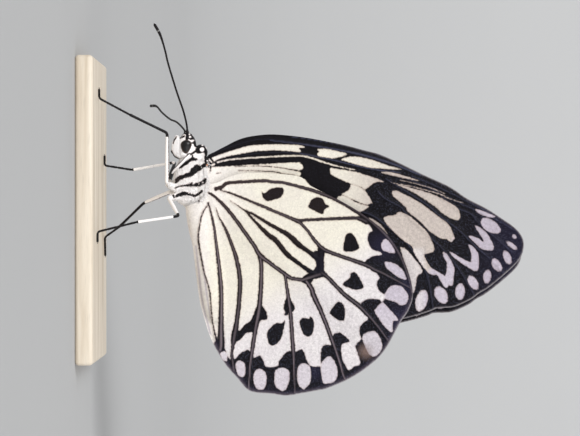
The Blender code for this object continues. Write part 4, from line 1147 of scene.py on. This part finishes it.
def body_paint(points, settings):
    """Mark, ground and ink for places on the body, alike on both sides."""
    x, y, z = points.T
    side = np.column_stack([x, z])
    mark = np.full(len(points), FAR)
    for line in BODY_STROKES.values():
        mark = np.minimum(mark, stroke(side, line))
    for rim in BODY_BLOTS.values():
        mark = np.minimum(mark, patch(side, rim))
    mark -= BODY_SPREAD
    for dot_x, dot_z, radius in (*BODY_DOTS, ORANGE_DOT):
        mark = np.maximum(mark, radius - np.hypot(x - dot_x, z - dot_z))
    mark = np.maximum(mark, -stroke(side, BODY_DASH))
    upper = z > body_middle(x)
    abdomen = np.where((x > -0.8) & upper, np.abs(y) - 0.5 + 0.15 * np.sin(2.4 * x), FAR)
    thorax = np.where((x > -9.2) & (x < 0) & upper, np.abs(y) - 0.8, FAR)
    mark = np.minimum(mark, np.minimum(abdomen, thorax))
    dot = glow(side, [(*ORANGE_DOT[:2], 2 * ORANGE_DOT[2])])
    ground = blend(all_over(settings.white, points), settings.orange, 1.3 * dot)
    low = eased((20.4 - z) / 1.6) * (x > -11) * (x < -5)
    ink = blend(settings.black, settings.brown, 0.2 * low)
    return mark, ground, ink


def make_coat(skin, palps, settings):
    """Short flat fur with small tufts, in the skin's own markings."""
    rng = np.random.default_rng(SEED)
    roots, normals = scatter(skin, settings.tufts + settings.head_tufts, rng)
    lengths = settings.tuft_length / MM * np.interp(roots[:, 0], *COAT_LENGTHS)
    off_eye = np.linalg.norm((roots[:, (0, 2)] - BARE_CENTRE) / BARE_SIZE, axis=1) >= 1
    tufts("body_coat", roots[off_eye], normals[off_eye], lengths[off_eye], rng, settings)
    on_palps = [scatter(palp, settings.head_tufts // 4, rng) for palp in palps]
    roots, normals = map(np.vstack, zip(*on_palps))
    lengths = np.full(len(roots), PALP_TUFT_LENGTH)
    tufts("palp_coat", roots, normals, lengths, rng, settings, palp_paint)
    root_fringe(rng, settings)


def root_fringe(rng, settings):
    """Locks that run from the body's upper edge out over the wings' roots."""
    count = settings.fringe
    x = rng.uniform(FRINGE_FROM, FRINGE_TO, count)
    z = np.interp(x, *ROOT_EDGE) - 0.15 + np.abs(rng.normal(0.0, 0.4, count))
    side = rng.choice((-1.0, 1.0), count)
    sheet = np.where(x > JOINT_X - 1.2, hindwing_y(x, z), forewing_y(x, z)) + 0.1
    roots = np.column_stack([x, side * sheet, z])
    normals = np.column_stack([0 * x, side, 0 * x])
    lengths = np.full(count, FRINGE_LENGTH)
    tufts("root_fringe", roots, normals, lengths, rng, settings, lie=(0.7, 0.0, 0.45))


def scatter(piece, count, rng):
    """Random places spread evenly over a mesh, with the surface's direction at each."""
    a, b, c = triangles(piece)
    normals = np.cross(b - a, c - a)
    areas = np.linalg.norm(normals, axis=1)
    chosen = rng.choice(len(areas), count, p=areas / areas.sum())
    u, v = rng.random((2, count, 1))
    fold = u + v > 1
    u, v = np.where(fold, 1 - u, u), np.where(fold, 1 - v, v)
    spots = a[chosen] + u * (b - a)[chosen] + v * (c - a)[chosen]
    return spots, normals[chosen] / np.maximum(areas[chosen], 1e-12)[:, None]


def many(name, rows, pattern):
    """Many small shapes as one mesh: each row holds one shape's points, joined by the pattern's triangles."""
    count, corners, _ = rows.shape
    faces = (np.arange(count)[:, None, None] * corners + np.array(pattern)).reshape(-1, 3)
    data = bpy.data.meshes.new(name)
    data.from_pydata((rows.reshape(-1, 3) * MM).tolist(), [], faces.tolist())
    piece = bpy.data.objects.new(name, data)
    bpy.context.collection.objects.link(piece)
    return piece


def tufts(name, roots, normals, lengths, rng, settings, paint=body_paint, lie=(0.9, 0.0, -0.35)):
    """Flat bent locks that lie towards the tail and a little down, or another way, as one mesh."""
    count = len(roots)
    lie = np.tile(lie, (count, 1)) + rng.normal(0, 0.22, (count, 3))
    lie -= (lie * normals).sum(axis=1)[:, None] * normals
    lie /= np.linalg.norm(lie, axis=1)[:, None]
    across = np.cross(normals, lie)
    lengths = (lengths * rng.uniform(0.7, 1.3, count))[:, None]
    lift = rng.uniform(0.05, 0.24, count)[:, None]
    width = lengths * 0.16
    start = roots - normals * 0.05
    bend = roots + lengths * (0.5 * lie + 0.6 * lift * normals)
    tip = roots + lengths * (lie + 0.75 * lift * normals)
    thick = normals * width * 0.5
    rows = np.stack([
        start - across * width, start + across * width, start + thick,
        bend - across * width * 0.8, bend + across * width * 0.8, bend + thick, tip], axis=1)
    pattern = ((0, 2, 1), (1, 3, 0), (1, 4, 3), (2, 4, 1), (2, 5, 4), (0, 5, 2), (0, 3, 5),
               (4, 6, 3), (5, 6, 4), (3, 6, 5))
    piece = many(name, rows, pattern)
    dress(piece, *(np.repeat(values, rows.shape[1], axis=0) for values in paint(bend, settings)))
    unwrap_tufts(piece, roots, pattern)
    return finish(piece, body_material())


def unwrap_tufts(piece, roots, pattern):
    """Each tuft as a small patch at its root's place on the body rolled out flat."""
    edge, patch_size = 0.02, 0.003
    x, y, z = roots.T
    middle = np.where(x < BODY[0][0], HEAD_MIDDLE, body_middle(x))
    u = (x - x.min()) / (x.max() - x.min())
    v = np.arctan2(z - middle, y) / (2 * math.pi) + 0.5
    starts = edge + (1 - 2 * edge) * np.column_stack([u, v]) - patch_size / 2
    corners = np.array(((0, 0), (1, 0), (0.5, 0.2), (0.1, 0.6), (0.9, 0.6), (0.5, 0.7), (0.5, 1)))
    spots = (starts[:, None] + patch_size * corners[np.array(pattern).ravel()]).reshape(-1, 2)
    piece.data.uv_layers.new(name="OFBake").data.foreach_set("uv", spots.ravel())


def make_eyes(settings):
    """Large domed eyes, pointed at the back, with a thin brown rim."""
    material = eye_material()
    for name, side in SIDES.items():
        deselect()
        bpy.ops.mesh.primitive_uv_sphere_add(segments=64, ring_count=40, radius=1)
        eye = bpy.context.object
        eye.name = f"eye_{name}_faceted"
        along, out, high = (places(eye) * MM).T
        off = along - EYE_WIDEST
        reach = np.where(off > 0, 1 - EYE_WIDEST, 1 + EYE_WIDEST)
        fullness = 1 - np.clip(np.abs(off) / reach, 0, 1) ** np.where(off > 0, EYE_BACK, EYE_FRONT)
        ring = np.maximum(np.hypot(out, high), 1e-6)
        dome = fullness**EYE_DOME
        points = np.column_stack([along, out / ring * dome, high / ring * dome]) * EYE_SIZE
        points[:, 2] -= EYE_TILT * along
        place(eye, points + np.array(EYE_CENTRE) * (1, side, 1))
        rim = eased((0.62 - np.abs(points[:, 1]) / EYE_SIZE[1]) / 0.3)
        store(eye, "ink", blend(settings.eye, settings.brown, 0.7 * rim))
        finish(eye, material, [f"eye_{name}"])


def palp_paint(points, settings):
    """White with a black line down the front edge and another under the rear half."""
    side = points[:, (0, 2)]
    mark = np.min([stroke(side, line) for line in PALP_STROKES.values()], axis=0)
    return mark, all_over(settings.white, points), all_over(settings.black, points)


def make_palps(settings):
    """The two palps, for the coat to grow on."""
    palps = []
    for name, side in SIDES.items():
        line = smooth_line(mirrored(PALP, side), 0.12)
        share = np.linspace(0, 1, len(line))
        known = np.linspace(0, 1, len(PALP_DEPTHS))
        depths = np.interp(share, known, PALP_DEPTHS)
        widths = np.interp(share, known, PALP_WIDTHS)
        palp, _, _ = sweep(f"palp_{name}_furred", line, depths, widths, 32)
        apply(palp, "SMOOTH", factor=0.5, iterations=4)
        dress(palp, *palp_paint(places(palp), settings))
        palps.append(finish(palp, body_material(), [f"palp_{name}"]))
    return palps


def make_tongue(settings):
    """The tongue, rolled up like a watch spring."""
    turns = np.linspace(0, 2 * math.pi * TONGUE_TURNS, 110)
    radius = TONGUE_RADIUS * (1 - turns / turns[-1]) ** 0.8 + 0.06
    x, z = TONGUE_CENTRE
    line = np.column_stack([x + radius * np.sin(turns), 0 * turns, z + radius * np.cos(turns)])
    thick = TONGUE_TUBE * (1 - 0.5 * np.linspace(0, 1, len(line)))
    tongue, _, _ = sweep("tongue_coil", line, thick, thick, 12)
    dress_dark(tongue, settings)
    finish(tongue, body_material(), ["tongue"])


def make_antennae(settings):
    """Thin jointed feelers, each on a round root, with a slender club and a pale ring near its tip."""
    for name, corners in (("left", ANTENNA_LEFT), ("right", ANTENNA_RIGHT)):
        line = smooth_line(mirrored(corners, SIDES[name]), 0.07)
        share = np.linspace(0, 1, len(line))
        club = eased((share - 0.8) / 0.14)
        radii = 0.18 + 0.1 * club + 0.02 * np.abs(np.sin(math.pi * ANTENNA_RINGS * share)) ** 0.5
        radii = radii + 0.14 * np.exp(-((share - 0.03) / 0.016) ** 2)
        radii *= np.clip((1 - share) / 0.012, 0.3, 1) ** 0.5
        antenna, along, _ = sweep(f"antenna_{name}_jointed", line, radii, radii, 16)
        ring = np.exp(-((along - 0.93) / 0.004) ** 2)
        dress_dark(antenna, settings, blend(settings.black, settings.white, 0.3 * ring))
        finish(antenna, body_material(), [f"antenna_{name}"])


def leg_corners(name):
    """The corners of this leg, on its own side of the body."""
    return mirrored(LEGS[name][0], SIDES[name.split("_")[2]])


def leg_radii(line, corners, femur_radius):
    """The leg's radius along its line, the distances along it, and those of its corners.

    A leg is a long femur, a thin tibia, and a jointed tarsus.
    """
    along = lengths_along(line)
    stops = [along[np.argmin(np.linalg.norm(line - corner, axis=1))] for corner in corners[1:]]
    hip, knee, ankle, _, end = stops
    known = (0, hip, hip + 1.2, (hip + knee) / 2, knee - 0.6, knee, knee + 0.6, (knee + ankle) / 2,
             ankle - 0.3, ankle + 0.2, end)
    sizes = (0.45, femur_radius, femur_radius * 0.95, femur_radius, KNEE_RADIUS, KNEE_RADIUS * 0.95,
             TIBIA_RADIUS, TIBIA_RADIUS * 0.9, TIBIA_RADIUS, FOOT_RADIUS, FOOT_RADIUS)
    radii = np.interp(along, known, sizes)
    waist = 1 - 0.22 * np.exp(-(((along - ankle) / (end - ankle) * TARSUS_SEGMENTS) % 1 / 0.12) ** 2)
    radii = radii * np.where(along > ankle, waist, 1)
    return radii, along, stops


def make_legs(settings):
    """The four walking legs, with their dark markings, claws and bristles."""
    rng = np.random.default_rng(SEED + 1)
    for name, (_, femur_radius, femur_dark, tibia_dark) in LEGS.items():
        corners = leg_corners(name)
        line = bent_line(corners, LEG_BEND, 0.08)
        radii, along, (_, knee, ankle, _, end) = leg_radii(line, corners, femur_radius)
        leg, share, around = sweep(f"{name}_jointed", line, radii, radii, 24)
        distance = share * along[-1]
        top = np.abs(around) / math.pi
        femur = top - femur_dark
        tibia = np.where(tibia_dark > 0, top - tibia_dark - 0.2, 0.4)
        mark = np.where(distance < knee - 0.7, femur, np.where(distance < knee + 0.9, -0.5, tibia))
        mark = np.where(distance > ankle - 0.3, -0.5, mark) * 0.8
        points = places(leg)
        if name == "mid_leg_right":
            dot = np.hypot(points[:, 0] - KNEE_DOT[0], points[:, 2] - KNEE_DOT[1])
            mark = np.maximum(mark, KNEE_DOT[2] - dot)
        dress(leg, mark, all_over(settings.white, points), all_over(settings.black, points))
        hooks = claws(line, settings)
        hairs = bristles(name, line, along, radii, (knee + 0.5, end - 0.2), rng, settings)
        leg = join([leg, *hooks, hairs], f"{name}_jointed")
        parts = [f"{name}_{part}" for part in ("femur", "tibia", "tarsus")]
        finish(leg, body_material(), parts)


def claws(line, settings):
    """Two small hooked claws at the foot's tip."""
    tip = line[-1]
    ahead = (tip - line[-4]) / np.linalg.norm(tip - line[-4])
    across = np.cross(ahead, (0, 0, 1))
    made = []
    for side in SIDES.values():
        hook = np.array([
            tip - 0.1 * ahead + side * 0.05 * across,
            tip + 0.16 * ahead + side * 0.16 * across + (0, 0, 0.05),
            tip + 0.32 * ahead + side * 0.24 * across - (0, 0, 0.08)])
        hook = smooth_line(hook, 0.05)
        radii = np.linspace(0.07, 0.02, len(hook))
        claw, _, _ = sweep("claw", hook, radii, radii, 8)
        dress_dark(claw, settings)
        made.append(claw)
    return made


def bristles(name, line, along, radii, reach, rng, settings):
    """Short stiff hairs that point down the leg, between two distances along its line."""
    where = rng.uniform(*reach, BRISTLES)
    spots = at(line, along, where)
    ahead = at(np.gradient(line, axis=0), along, where)
    ahead /= np.linalg.norm(ahead, axis=1)[:, None]
    out = rng.normal(0, 1, (BRISTLES, 3))
    out -= (out * ahead).sum(axis=1)[:, None] * ahead
    out /= np.linalg.norm(out, axis=1)[:, None]
    across = np.cross(ahead, out)
    size = np.interp(where, along, radii)[:, None]
    length = rng.uniform(0.16, 0.3, BRISTLES)[:, None]
    root = spots + out * size * 0.8
    tip = root + length * (0.75 * ahead + 0.6 * out)
    tip[:, 2] = np.maximum(tip[:, 2], BASE_TOP + 0.02)
    rows = np.stack([root - across * 0.03, root + across * 0.03, root + ahead * 0.06, tip], axis=1)
    piece = many(f"{name}_bristles", rows, ((0, 2, 1), (0, 1, 3), (1, 2, 3), (2, 0, 3)))
    dress_dark(piece, settings)
    return piece


def foreleg_paint(line, points, settings):
    """White with a black line down the front of the leg that runs along this line."""
    knots = line[::4]
    nearest = np.argmin(np.linalg.norm(points[:, None] - knots, axis=2), axis=1)
    front = (points - knots[nearest]) @ FOLDED_FRONT
    return 0.16 - front, all_over(settings.white, points), all_over(settings.black, points)


def make_forelegs(settings):
    """The small front legs, folded against the breast, with short fur."""
    rng = np.random.default_rng(SEED + 2)
    for name, side in SIDES.items():
        line = smooth_line(mirrored(FOLDED_LEG, side), 0.1)
        share = np.linspace(0, 1, len(line))
        radii = np.interp(share, (0, 0.15, 0.7, 1), (0.14, 0.3, 0.28, 0.14))
        leg, _, _ = sweep(f"foreleg_{name}_folded", line, radii * 1.25, radii, 24)
        paint = partial(foreleg_paint, line)
        dress(leg, *paint(places(leg), settings))
        finish(leg, body_material(), [f"foreleg_{name}"])
        roots, normals = scatter(leg, FOLDED_TUFTS, rng)
        lengths = np.full(FOLDED_TUFTS, FOLDED_TUFT_LENGTH)
        tufts(f"foreleg_{name}_coat", roots, normals, lengths, rng, settings, paint, lie=(0.7, 0.0, -0.7))


def make_base():
    """The wooden plate, with its edges rounded."""
    low, high = (np.array(corner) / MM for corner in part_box("stand_base"))
    deselect()
    bpy.ops.mesh.primitive_cube_add(size=1)
    base = bpy.context.object
    base.name = "wooden_base"
    place(base, places(base) * MM * (high - low) + (low + high) / 2)
    apply(base, "BEVEL", width=0.8 * MM, segments=5, limit_method="NONE")
    finish(base, wood_material(bpy.context.scene.kite_stage), ["stand_base"])
    bpy.ops.object.shade_smooth_by_angle(angle=math.radians(30))


class Nodes:
    """A material's nodes, added one at a time and joined by name."""

    def __init__(self, name):
        self.material = bpy.data.materials.new(name)
        self.material.use_nodes = True
        self.tree = self.material.node_tree
        self.shader = self.tree.nodes["Principled BSDF"]
        self.place = self.add("ShaderNodeTexCoord").outputs["Object"]

    def add(self, kind, inputs=None, **settings):
        node = self.tree.nodes.new(kind)
        for name, value in settings.items():
            setattr(node, name, value)
        for name, value in (inputs or {}).items():
            self.feed(node.inputs[name], value)
        return node

    def feed(self, socket, value):
        if isinstance(value, bpy.types.NodeSocket):
            self.tree.links.new(value, socket)
        else:
            socket.default_value = value

    def attribute(self, name, output):
        return self.add("ShaderNodeAttribute", attribute_name=name).outputs[output]

    def noise(self, scale, detail=2.0, roughness=0.5):
        inputs = {"Vector": self.place, "Scale": scale, "Detail": detail, "Roughness": roughness}
        return self.add("ShaderNodeTexNoise", inputs).outputs["Fac"]

    def drawn_out_noise(self, scales, detail, distortion=0.0):
        """Noise with its own scale along each of the three axes."""
        mapping = self.add("ShaderNodeMapping", {"Vector": self.place, "Scale": scales})
        inputs = {"Vector": mapping.outputs[0], "Scale": 1.0, "Detail": detail, "Distortion": distortion}
        return self.add("ShaderNodeTexNoise", inputs).outputs["Fac"]

    def cells(self, scale, randomness=1.0):
        inputs = {"Vector": self.place, "Scale": scale, "Randomness": randomness}
        return self.add("ShaderNodeTexVoronoi", inputs, feature="F1").outputs["Distance"]

    def sum(self, operation, *values):
        node = self.add("ShaderNodeMath", operation=operation)
        for socket, value in zip(node.inputs, values):
            self.feed(socket, value)
        return node.outputs[0]

    def span(self, value, low, high, to_low=0.0, to_high=1.0):
        inputs = {"Value": value, "From Min": low, "From Max": high, "To Min": to_low, "To Max": to_high}
        return self.add("ShaderNodeMapRange", inputs).outputs[0]

    def mix(self, share, first, second, blend_type="MIX"):
        node = self.add("ShaderNodeMix", data_type="RGBA", blend_type=blend_type)
        for socket, value in ((0, share), (6, first), (7, second)):
            self.feed(node.inputs[socket], value)
        return node.outputs[2]

    def tint(self, colour, by):
        return self.mix(1.0, colour, by, "MULTIPLY")

    def bump(self, height, strength, distance, after=None):
        inputs = {"Height": height, "Strength": strength, "Distance": distance}
        if after:
            inputs["Normal"] = after
        return self.add("ShaderNodeBump", inputs).outputs["Normal"]

    def finished(self, inputs):
        """The material, with these inputs of its shader linked or set."""
        for name, value in inputs.items():
            self.feed(self.shader.inputs[name], value)
        return self.material


def marked_colour(nodes, ragged, soft, fringe):
    """How pale it is, and the painted colour: ink where the mark is below 0, else ground.

    The edge between them is ragged and brownish.
    """
    mark = nodes.attribute("mark", "Fac")
    wobble = nodes.span(nodes.noise(2600.0, 4.0, 0.65), 0.3, 0.7, -ragged, ragged)
    edge = nodes.sum("ADD", mark, wobble)
    pale = nodes.span(edge, -soft, soft)
    ground = nodes.attribute("ground", "Color")
    rim = nodes.tint(ground, (0.62, 0.5, 0.47, 1.0))
    ground = nodes.mix(nodes.span(edge, 0.0, fringe, 0.55, 0.0), ground, rim)
    return pale, nodes.mix(pale, nodes.attribute("ink", "Color"), ground)


def wing_material():
    """Papery scales with a fine cell relief, soft mottling, and stray scales of the other colour strewn in.
    """
    nodes = Nodes("Wing scales")
    pale, colour = marked_colour(nodes, 0.1, 0.07, 0.26)
    dust = nodes.attribute("dust", "Fac")
    stray = nodes.sum("MULTIPLY", nodes.span(nodes.noise(5600.0, 2.0, 0.6), 0.54, 0.72), dust)
    stray = nodes.sum("MULTIPLY", stray, nodes.span(pale, 0.0, 1.0, 0.5, 0.3))
    strayed = nodes.mix(pale, (0.13, 0.14, 0.22, 1.0), (0.2, 0.17, 0.19, 1.0))
    colour = nodes.mix(stray, colour, strayed)
    darkest = nodes.span(dust, 0.0, 1.0, 0.89, 0.7)
    lightest = nodes.span(dust, 0.0, 1.0, 1.06, 1.15)
    blotch = nodes.span(nodes.noise(1700.0, 4.0, 0.85), 0.3, 0.7, darkest, lightest)
    cloud = nodes.span(nodes.noise(330.0, 5.0, 0.6), 0.3, 0.7)
    cloud = nodes.mix(cloud, (0.89, 0.875, 0.89, 1.0), (0.955, 0.955, 0.945, 1.0))
    grain = nodes.span(nodes.noise(3600.0, 3.0, 0.75), 0.3, 0.7, 0.88, 1.06)
    for layer in (blotch, cloud, grain):
        colour = nodes.tint(colour, layer)
    relief = nodes.bump(nodes.cells(9000.0), 0.25, 0.03 * MM)
    relief = nodes.bump(nodes.noise(300.0, 3.0), 0.35, 0.35 * MM, relief)
    return nodes.finished({
        "Base Color": colour,
        "Roughness": nodes.span(pale, 0.0, 1.0, 0.6, 0.75),
        "Normal": relief,
        "Specular IOR Level": 0.1,
    })


def body_material():
    """Short flat fur and scales of the body, made once."""
    made = bpy.data.materials.get("Body scales")
    if made:
        return made
    nodes = Nodes("Body scales")
    pale, colour = marked_colour(nodes, 0.07, 0.04, 0.16)
    grain = nodes.span(nodes.noise(5200.0, 3.0, 0.7), 0.2, 0.8, 0.94, 1.08)
    hair = nodes.drawn_out_noise((1400.0, 6000.0, 4200.0), 3.0)
    return nodes.finished({
        "Base Color": nodes.tint(colour, grain),
        "Roughness": nodes.span(pale, 0.0, 1.0, 0.42, 0.7),
        "Normal": nodes.bump(hair, 0.5, 0.12 * MM),
        "Specular IOR Level": 0.18,
        "Sheen Weight": 0.05,
    })


def eye_material():
    """Fine facets under a clear gloss."""
    nodes = Nodes("Faceted eye")
    spots = nodes.span(nodes.noise(900.0, 3.0), 0.3, 0.7, 0.75, 1.2)
    return nodes.finished({
        "Base Color": nodes.tint(nodes.attribute("ink", "Color"), spots),
        "Roughness": 0.35,
        "Normal": nodes.bump(nodes.cells(14000.0, 0.2), 0.3, 0.02 * MM),
        "Specular IOR Level": 0.25,
        "Coat Weight": 0.3,
        "Coat Roughness": 0.07,
    })


def wood_material(settings):
    """Pale wood with its grain along the base, satin, and a little darker in the pores."""
    nodes = Nodes("Pale wood")
    rings = nodes.drawn_out_noise((25.0, 420.0, 420.0), 6.0, 0.6)
    pores = nodes.drawn_out_noise((260.0, 5200.0, 5200.0), 3.0)
    wood = np.array(settings.wood)
    light, dark, pore = [(*(wood * share), 1.0) for share in (1.06, (0.72, 0.66, 0.58), 0.45)]
    colour = nodes.mix(nodes.span(rings, 0.35, 0.7), light, dark)
    return nodes.finished({
        "Base Color": nodes.mix(nodes.span(pores, 0.55, 0.8, 0.0, 0.35), colour, pore),
        "Roughness": nodes.span(pores, 0.3, 0.8, 0.38, 0.6),
        "Normal": nodes.bump(pores, 0.25, 0.08 * MM),
    })


def floor_material(settings):
    nodes = Nodes("Pale floor")
    tone = nodes.span(nodes.noise(6.0, 2.0), 0.3, 0.7, 0.99, 1.01)
    return nodes.finished({
        "Base Color": nodes.tint((*settings.floor, 1.0), tone),
        "Roughness": 0.9,
        "Specular IOR Level": 0.1,
    })


def make_stage(settings):
    """A floor that sweeps up into a backdrop, soft lights, and the camera at the photograph's angle."""
    scene = bpy.context.scene
    deselect()
    bpy.ops.mesh.primitive_plane_add(size=3.0, location=(0, 0, 0))
    floor = bpy.context.object
    floor.name = "floor_and_backdrop"
    bpy.ops.object.mode_set(mode="EDIT")
    bpy.ops.mesh.select_mode(type="EDGE")
    bpy.ops.mesh.select_all(action="DESELECT")
    bpy.ops.object.mode_set(mode="OBJECT")
    for edge in floor.data.edges:
        edge.select = all(floor.data.vertices[i].co.y > 1.4 for i in edge.vertices)
    bpy.ops.object.mode_set(mode="EDIT")
    bpy.ops.mesh.extrude_region_move(TRANSFORM_OT_translate={"value": (0, 0, 2.5)})
    bpy.ops.object.mode_set(mode="OBJECT")
    apply(floor, "BEVEL", width=1.0, segments=24, limit_method="ANGLE", angle_limit=math.radians(30))
    bpy.ops.object.shade_smooth()
    floor.data.materials.append(floor_material(settings))

    for name, (spot, spread, share) in LIGHTS.items():
        data = bpy.data.lights.new(name, "SUN")
        data.angle, data.energy = math.radians(spread), settings.light * share
        light = bpy.data.objects.new(name, data)
        scene.collection.objects.link(light)
        light.location = spot
        light.rotation_euler = (-Vector(spot)).to_track_quat("-Z", "Y").to_euler()

    world = bpy.data.worlds.new("Soft room")
    world.use_nodes = True
    room = world.node_tree.nodes["Background"]
    room.inputs["Color"].default_value = (1.0, 0.99, 0.98, 1.0)
    room.inputs["Strength"].default_value = ROOM_LIGHT
    scene.world = world
    scene.view_settings.view_transform = "Standard"

    camera = bpy.data.objects.new("camera", bpy.data.cameras.new("camera"))
    scene.collection.objects.link(camera)
    camera.data.sensor_width = SENSOR_WIDTH
    camera.data.lens = SENSOR_WIDTH * settings.camera_distance / VIEW_WIDTH
    camera.location = (VIEW_MIDDLE[0], -settings.camera_distance, VIEW_MIDDLE[1])
    # It looks along Y, with the butterfly's head towards the top of the picture
    camera.rotation_euler = Matrix(((0, -1, 0), (0, 0, -1), (1, 0, 0))).to_euler()
    scene.camera = camera


class MakeWings(bpy.types.Operator):
    """Add the four wings with their veins, patches and spots"""
    bl_idname = "kite.wings"
    bl_label = "Wings"

    def execute(self, context):
        make_wings(context.scene.kite_wings)
        return {"FINISHED"}


class MakeBody(bpy.types.Operator):
    """Add the body's skin, the palps and the short fur on both"""
    bl_idname = "kite.body"
    bl_label = "Body, palps and coat"

    def execute(self, context):
        settings = context.scene.kite_body
        skin = make_skin(settings)
        make_coat(skin, make_palps(settings), settings)
        return {"FINISHED"}


class MakeEyes(bpy.types.Operator):
    """Add the two faceted eyes"""
    bl_idname = "kite.eyes"
    bl_label = "Eyes"

    def execute(self, context):
        make_eyes(context.scene.kite_body)
        return {"FINISHED"}


class MakeFeelers(bpy.types.Operator):
    """Add the antennae and the rolled tongue"""
    bl_idname = "kite.feelers"
    bl_label = "Antennae and tongue"

    def execute(self, context):
        make_antennae(context.scene.kite_body)
        make_tongue(context.scene.kite_body)
        return {"FINISHED"}


class MakeLegs(bpy.types.Operator):
    """Add the four walking legs and the folded front legs"""
    bl_idname = "kite.legs"
    bl_label = "Legs"

    def execute(self, context):
        make_legs(context.scene.kite_body)
        make_forelegs(context.scene.kite_body)
        return {"FINISHED"}


class MakeBase(bpy.types.Operator):
    """Add the wooden base"""
    bl_idname = "kite.base"
    bl_label = "Base"

    def execute(self, context):
        make_base()
        return {"FINISHED"}


class MakeStage(bpy.types.Operator):
    """Add the floor, the backdrop, the lights and the camera"""
    bl_idname = "kite.stage"
    bl_label = "Stage"

    def execute(self, context):
        make_stage(context.scene.kite_stage)
        return {"FINISHED"}


OPERATORS = (MakeWings, MakeBody, MakeEyes, MakeFeelers, MakeLegs, MakeBase, MakeStage)
SETTINGS = {"kite_wings": WingSettings, "kite_body": BodySettings, "kite_stage": StageSettings}


class ButterflyPanel(bpy.types.Panel):
    """The butterfly's pieces, with the sizes and colours that they are made from"""
    bl_idname = "VIEW3D_PT_kite"
    bl_label = "Paper kite butterfly"
    bl_space_type = "VIEW_3D"
    bl_region_type = "UI"
    bl_category = "Butterfly"

    def draw(self, context):
        for operator in OPERATORS:
            self.layout.operator(operator.bl_idname)
        for name, group in SETTINGS.items():
            box = self.layout.box()
            for setting in group.__annotations__:
                box.prop(getattr(context.scene, name), setting)


CLASSES = (*SETTINGS.values(), *OPERATORS, ButterflyPanel)


def register():
    for kind in CLASSES:
        bpy.utils.register_class(kind)
    for name, group in SETTINGS.items():
        setattr(bpy.types.Scene, name, PointerProperty(type=group))


def unregister():
    for name in SETTINGS:
        delattr(bpy.types.Scene, name)
    for kind in reversed(CLASSES):
        bpy.utils.unregister_class(kind)


def main():
    register()
    bpy.ops.kite.stage()
    bpy.ops.kite.base()
    bpy.ops.kite.body()
    bpy.ops.kite.eyes()
    bpy.ops.kite.feelers()
    bpy.ops.kite.legs()
    bpy.ops.kite.wings()


if __name__ == "__main__":
    main()
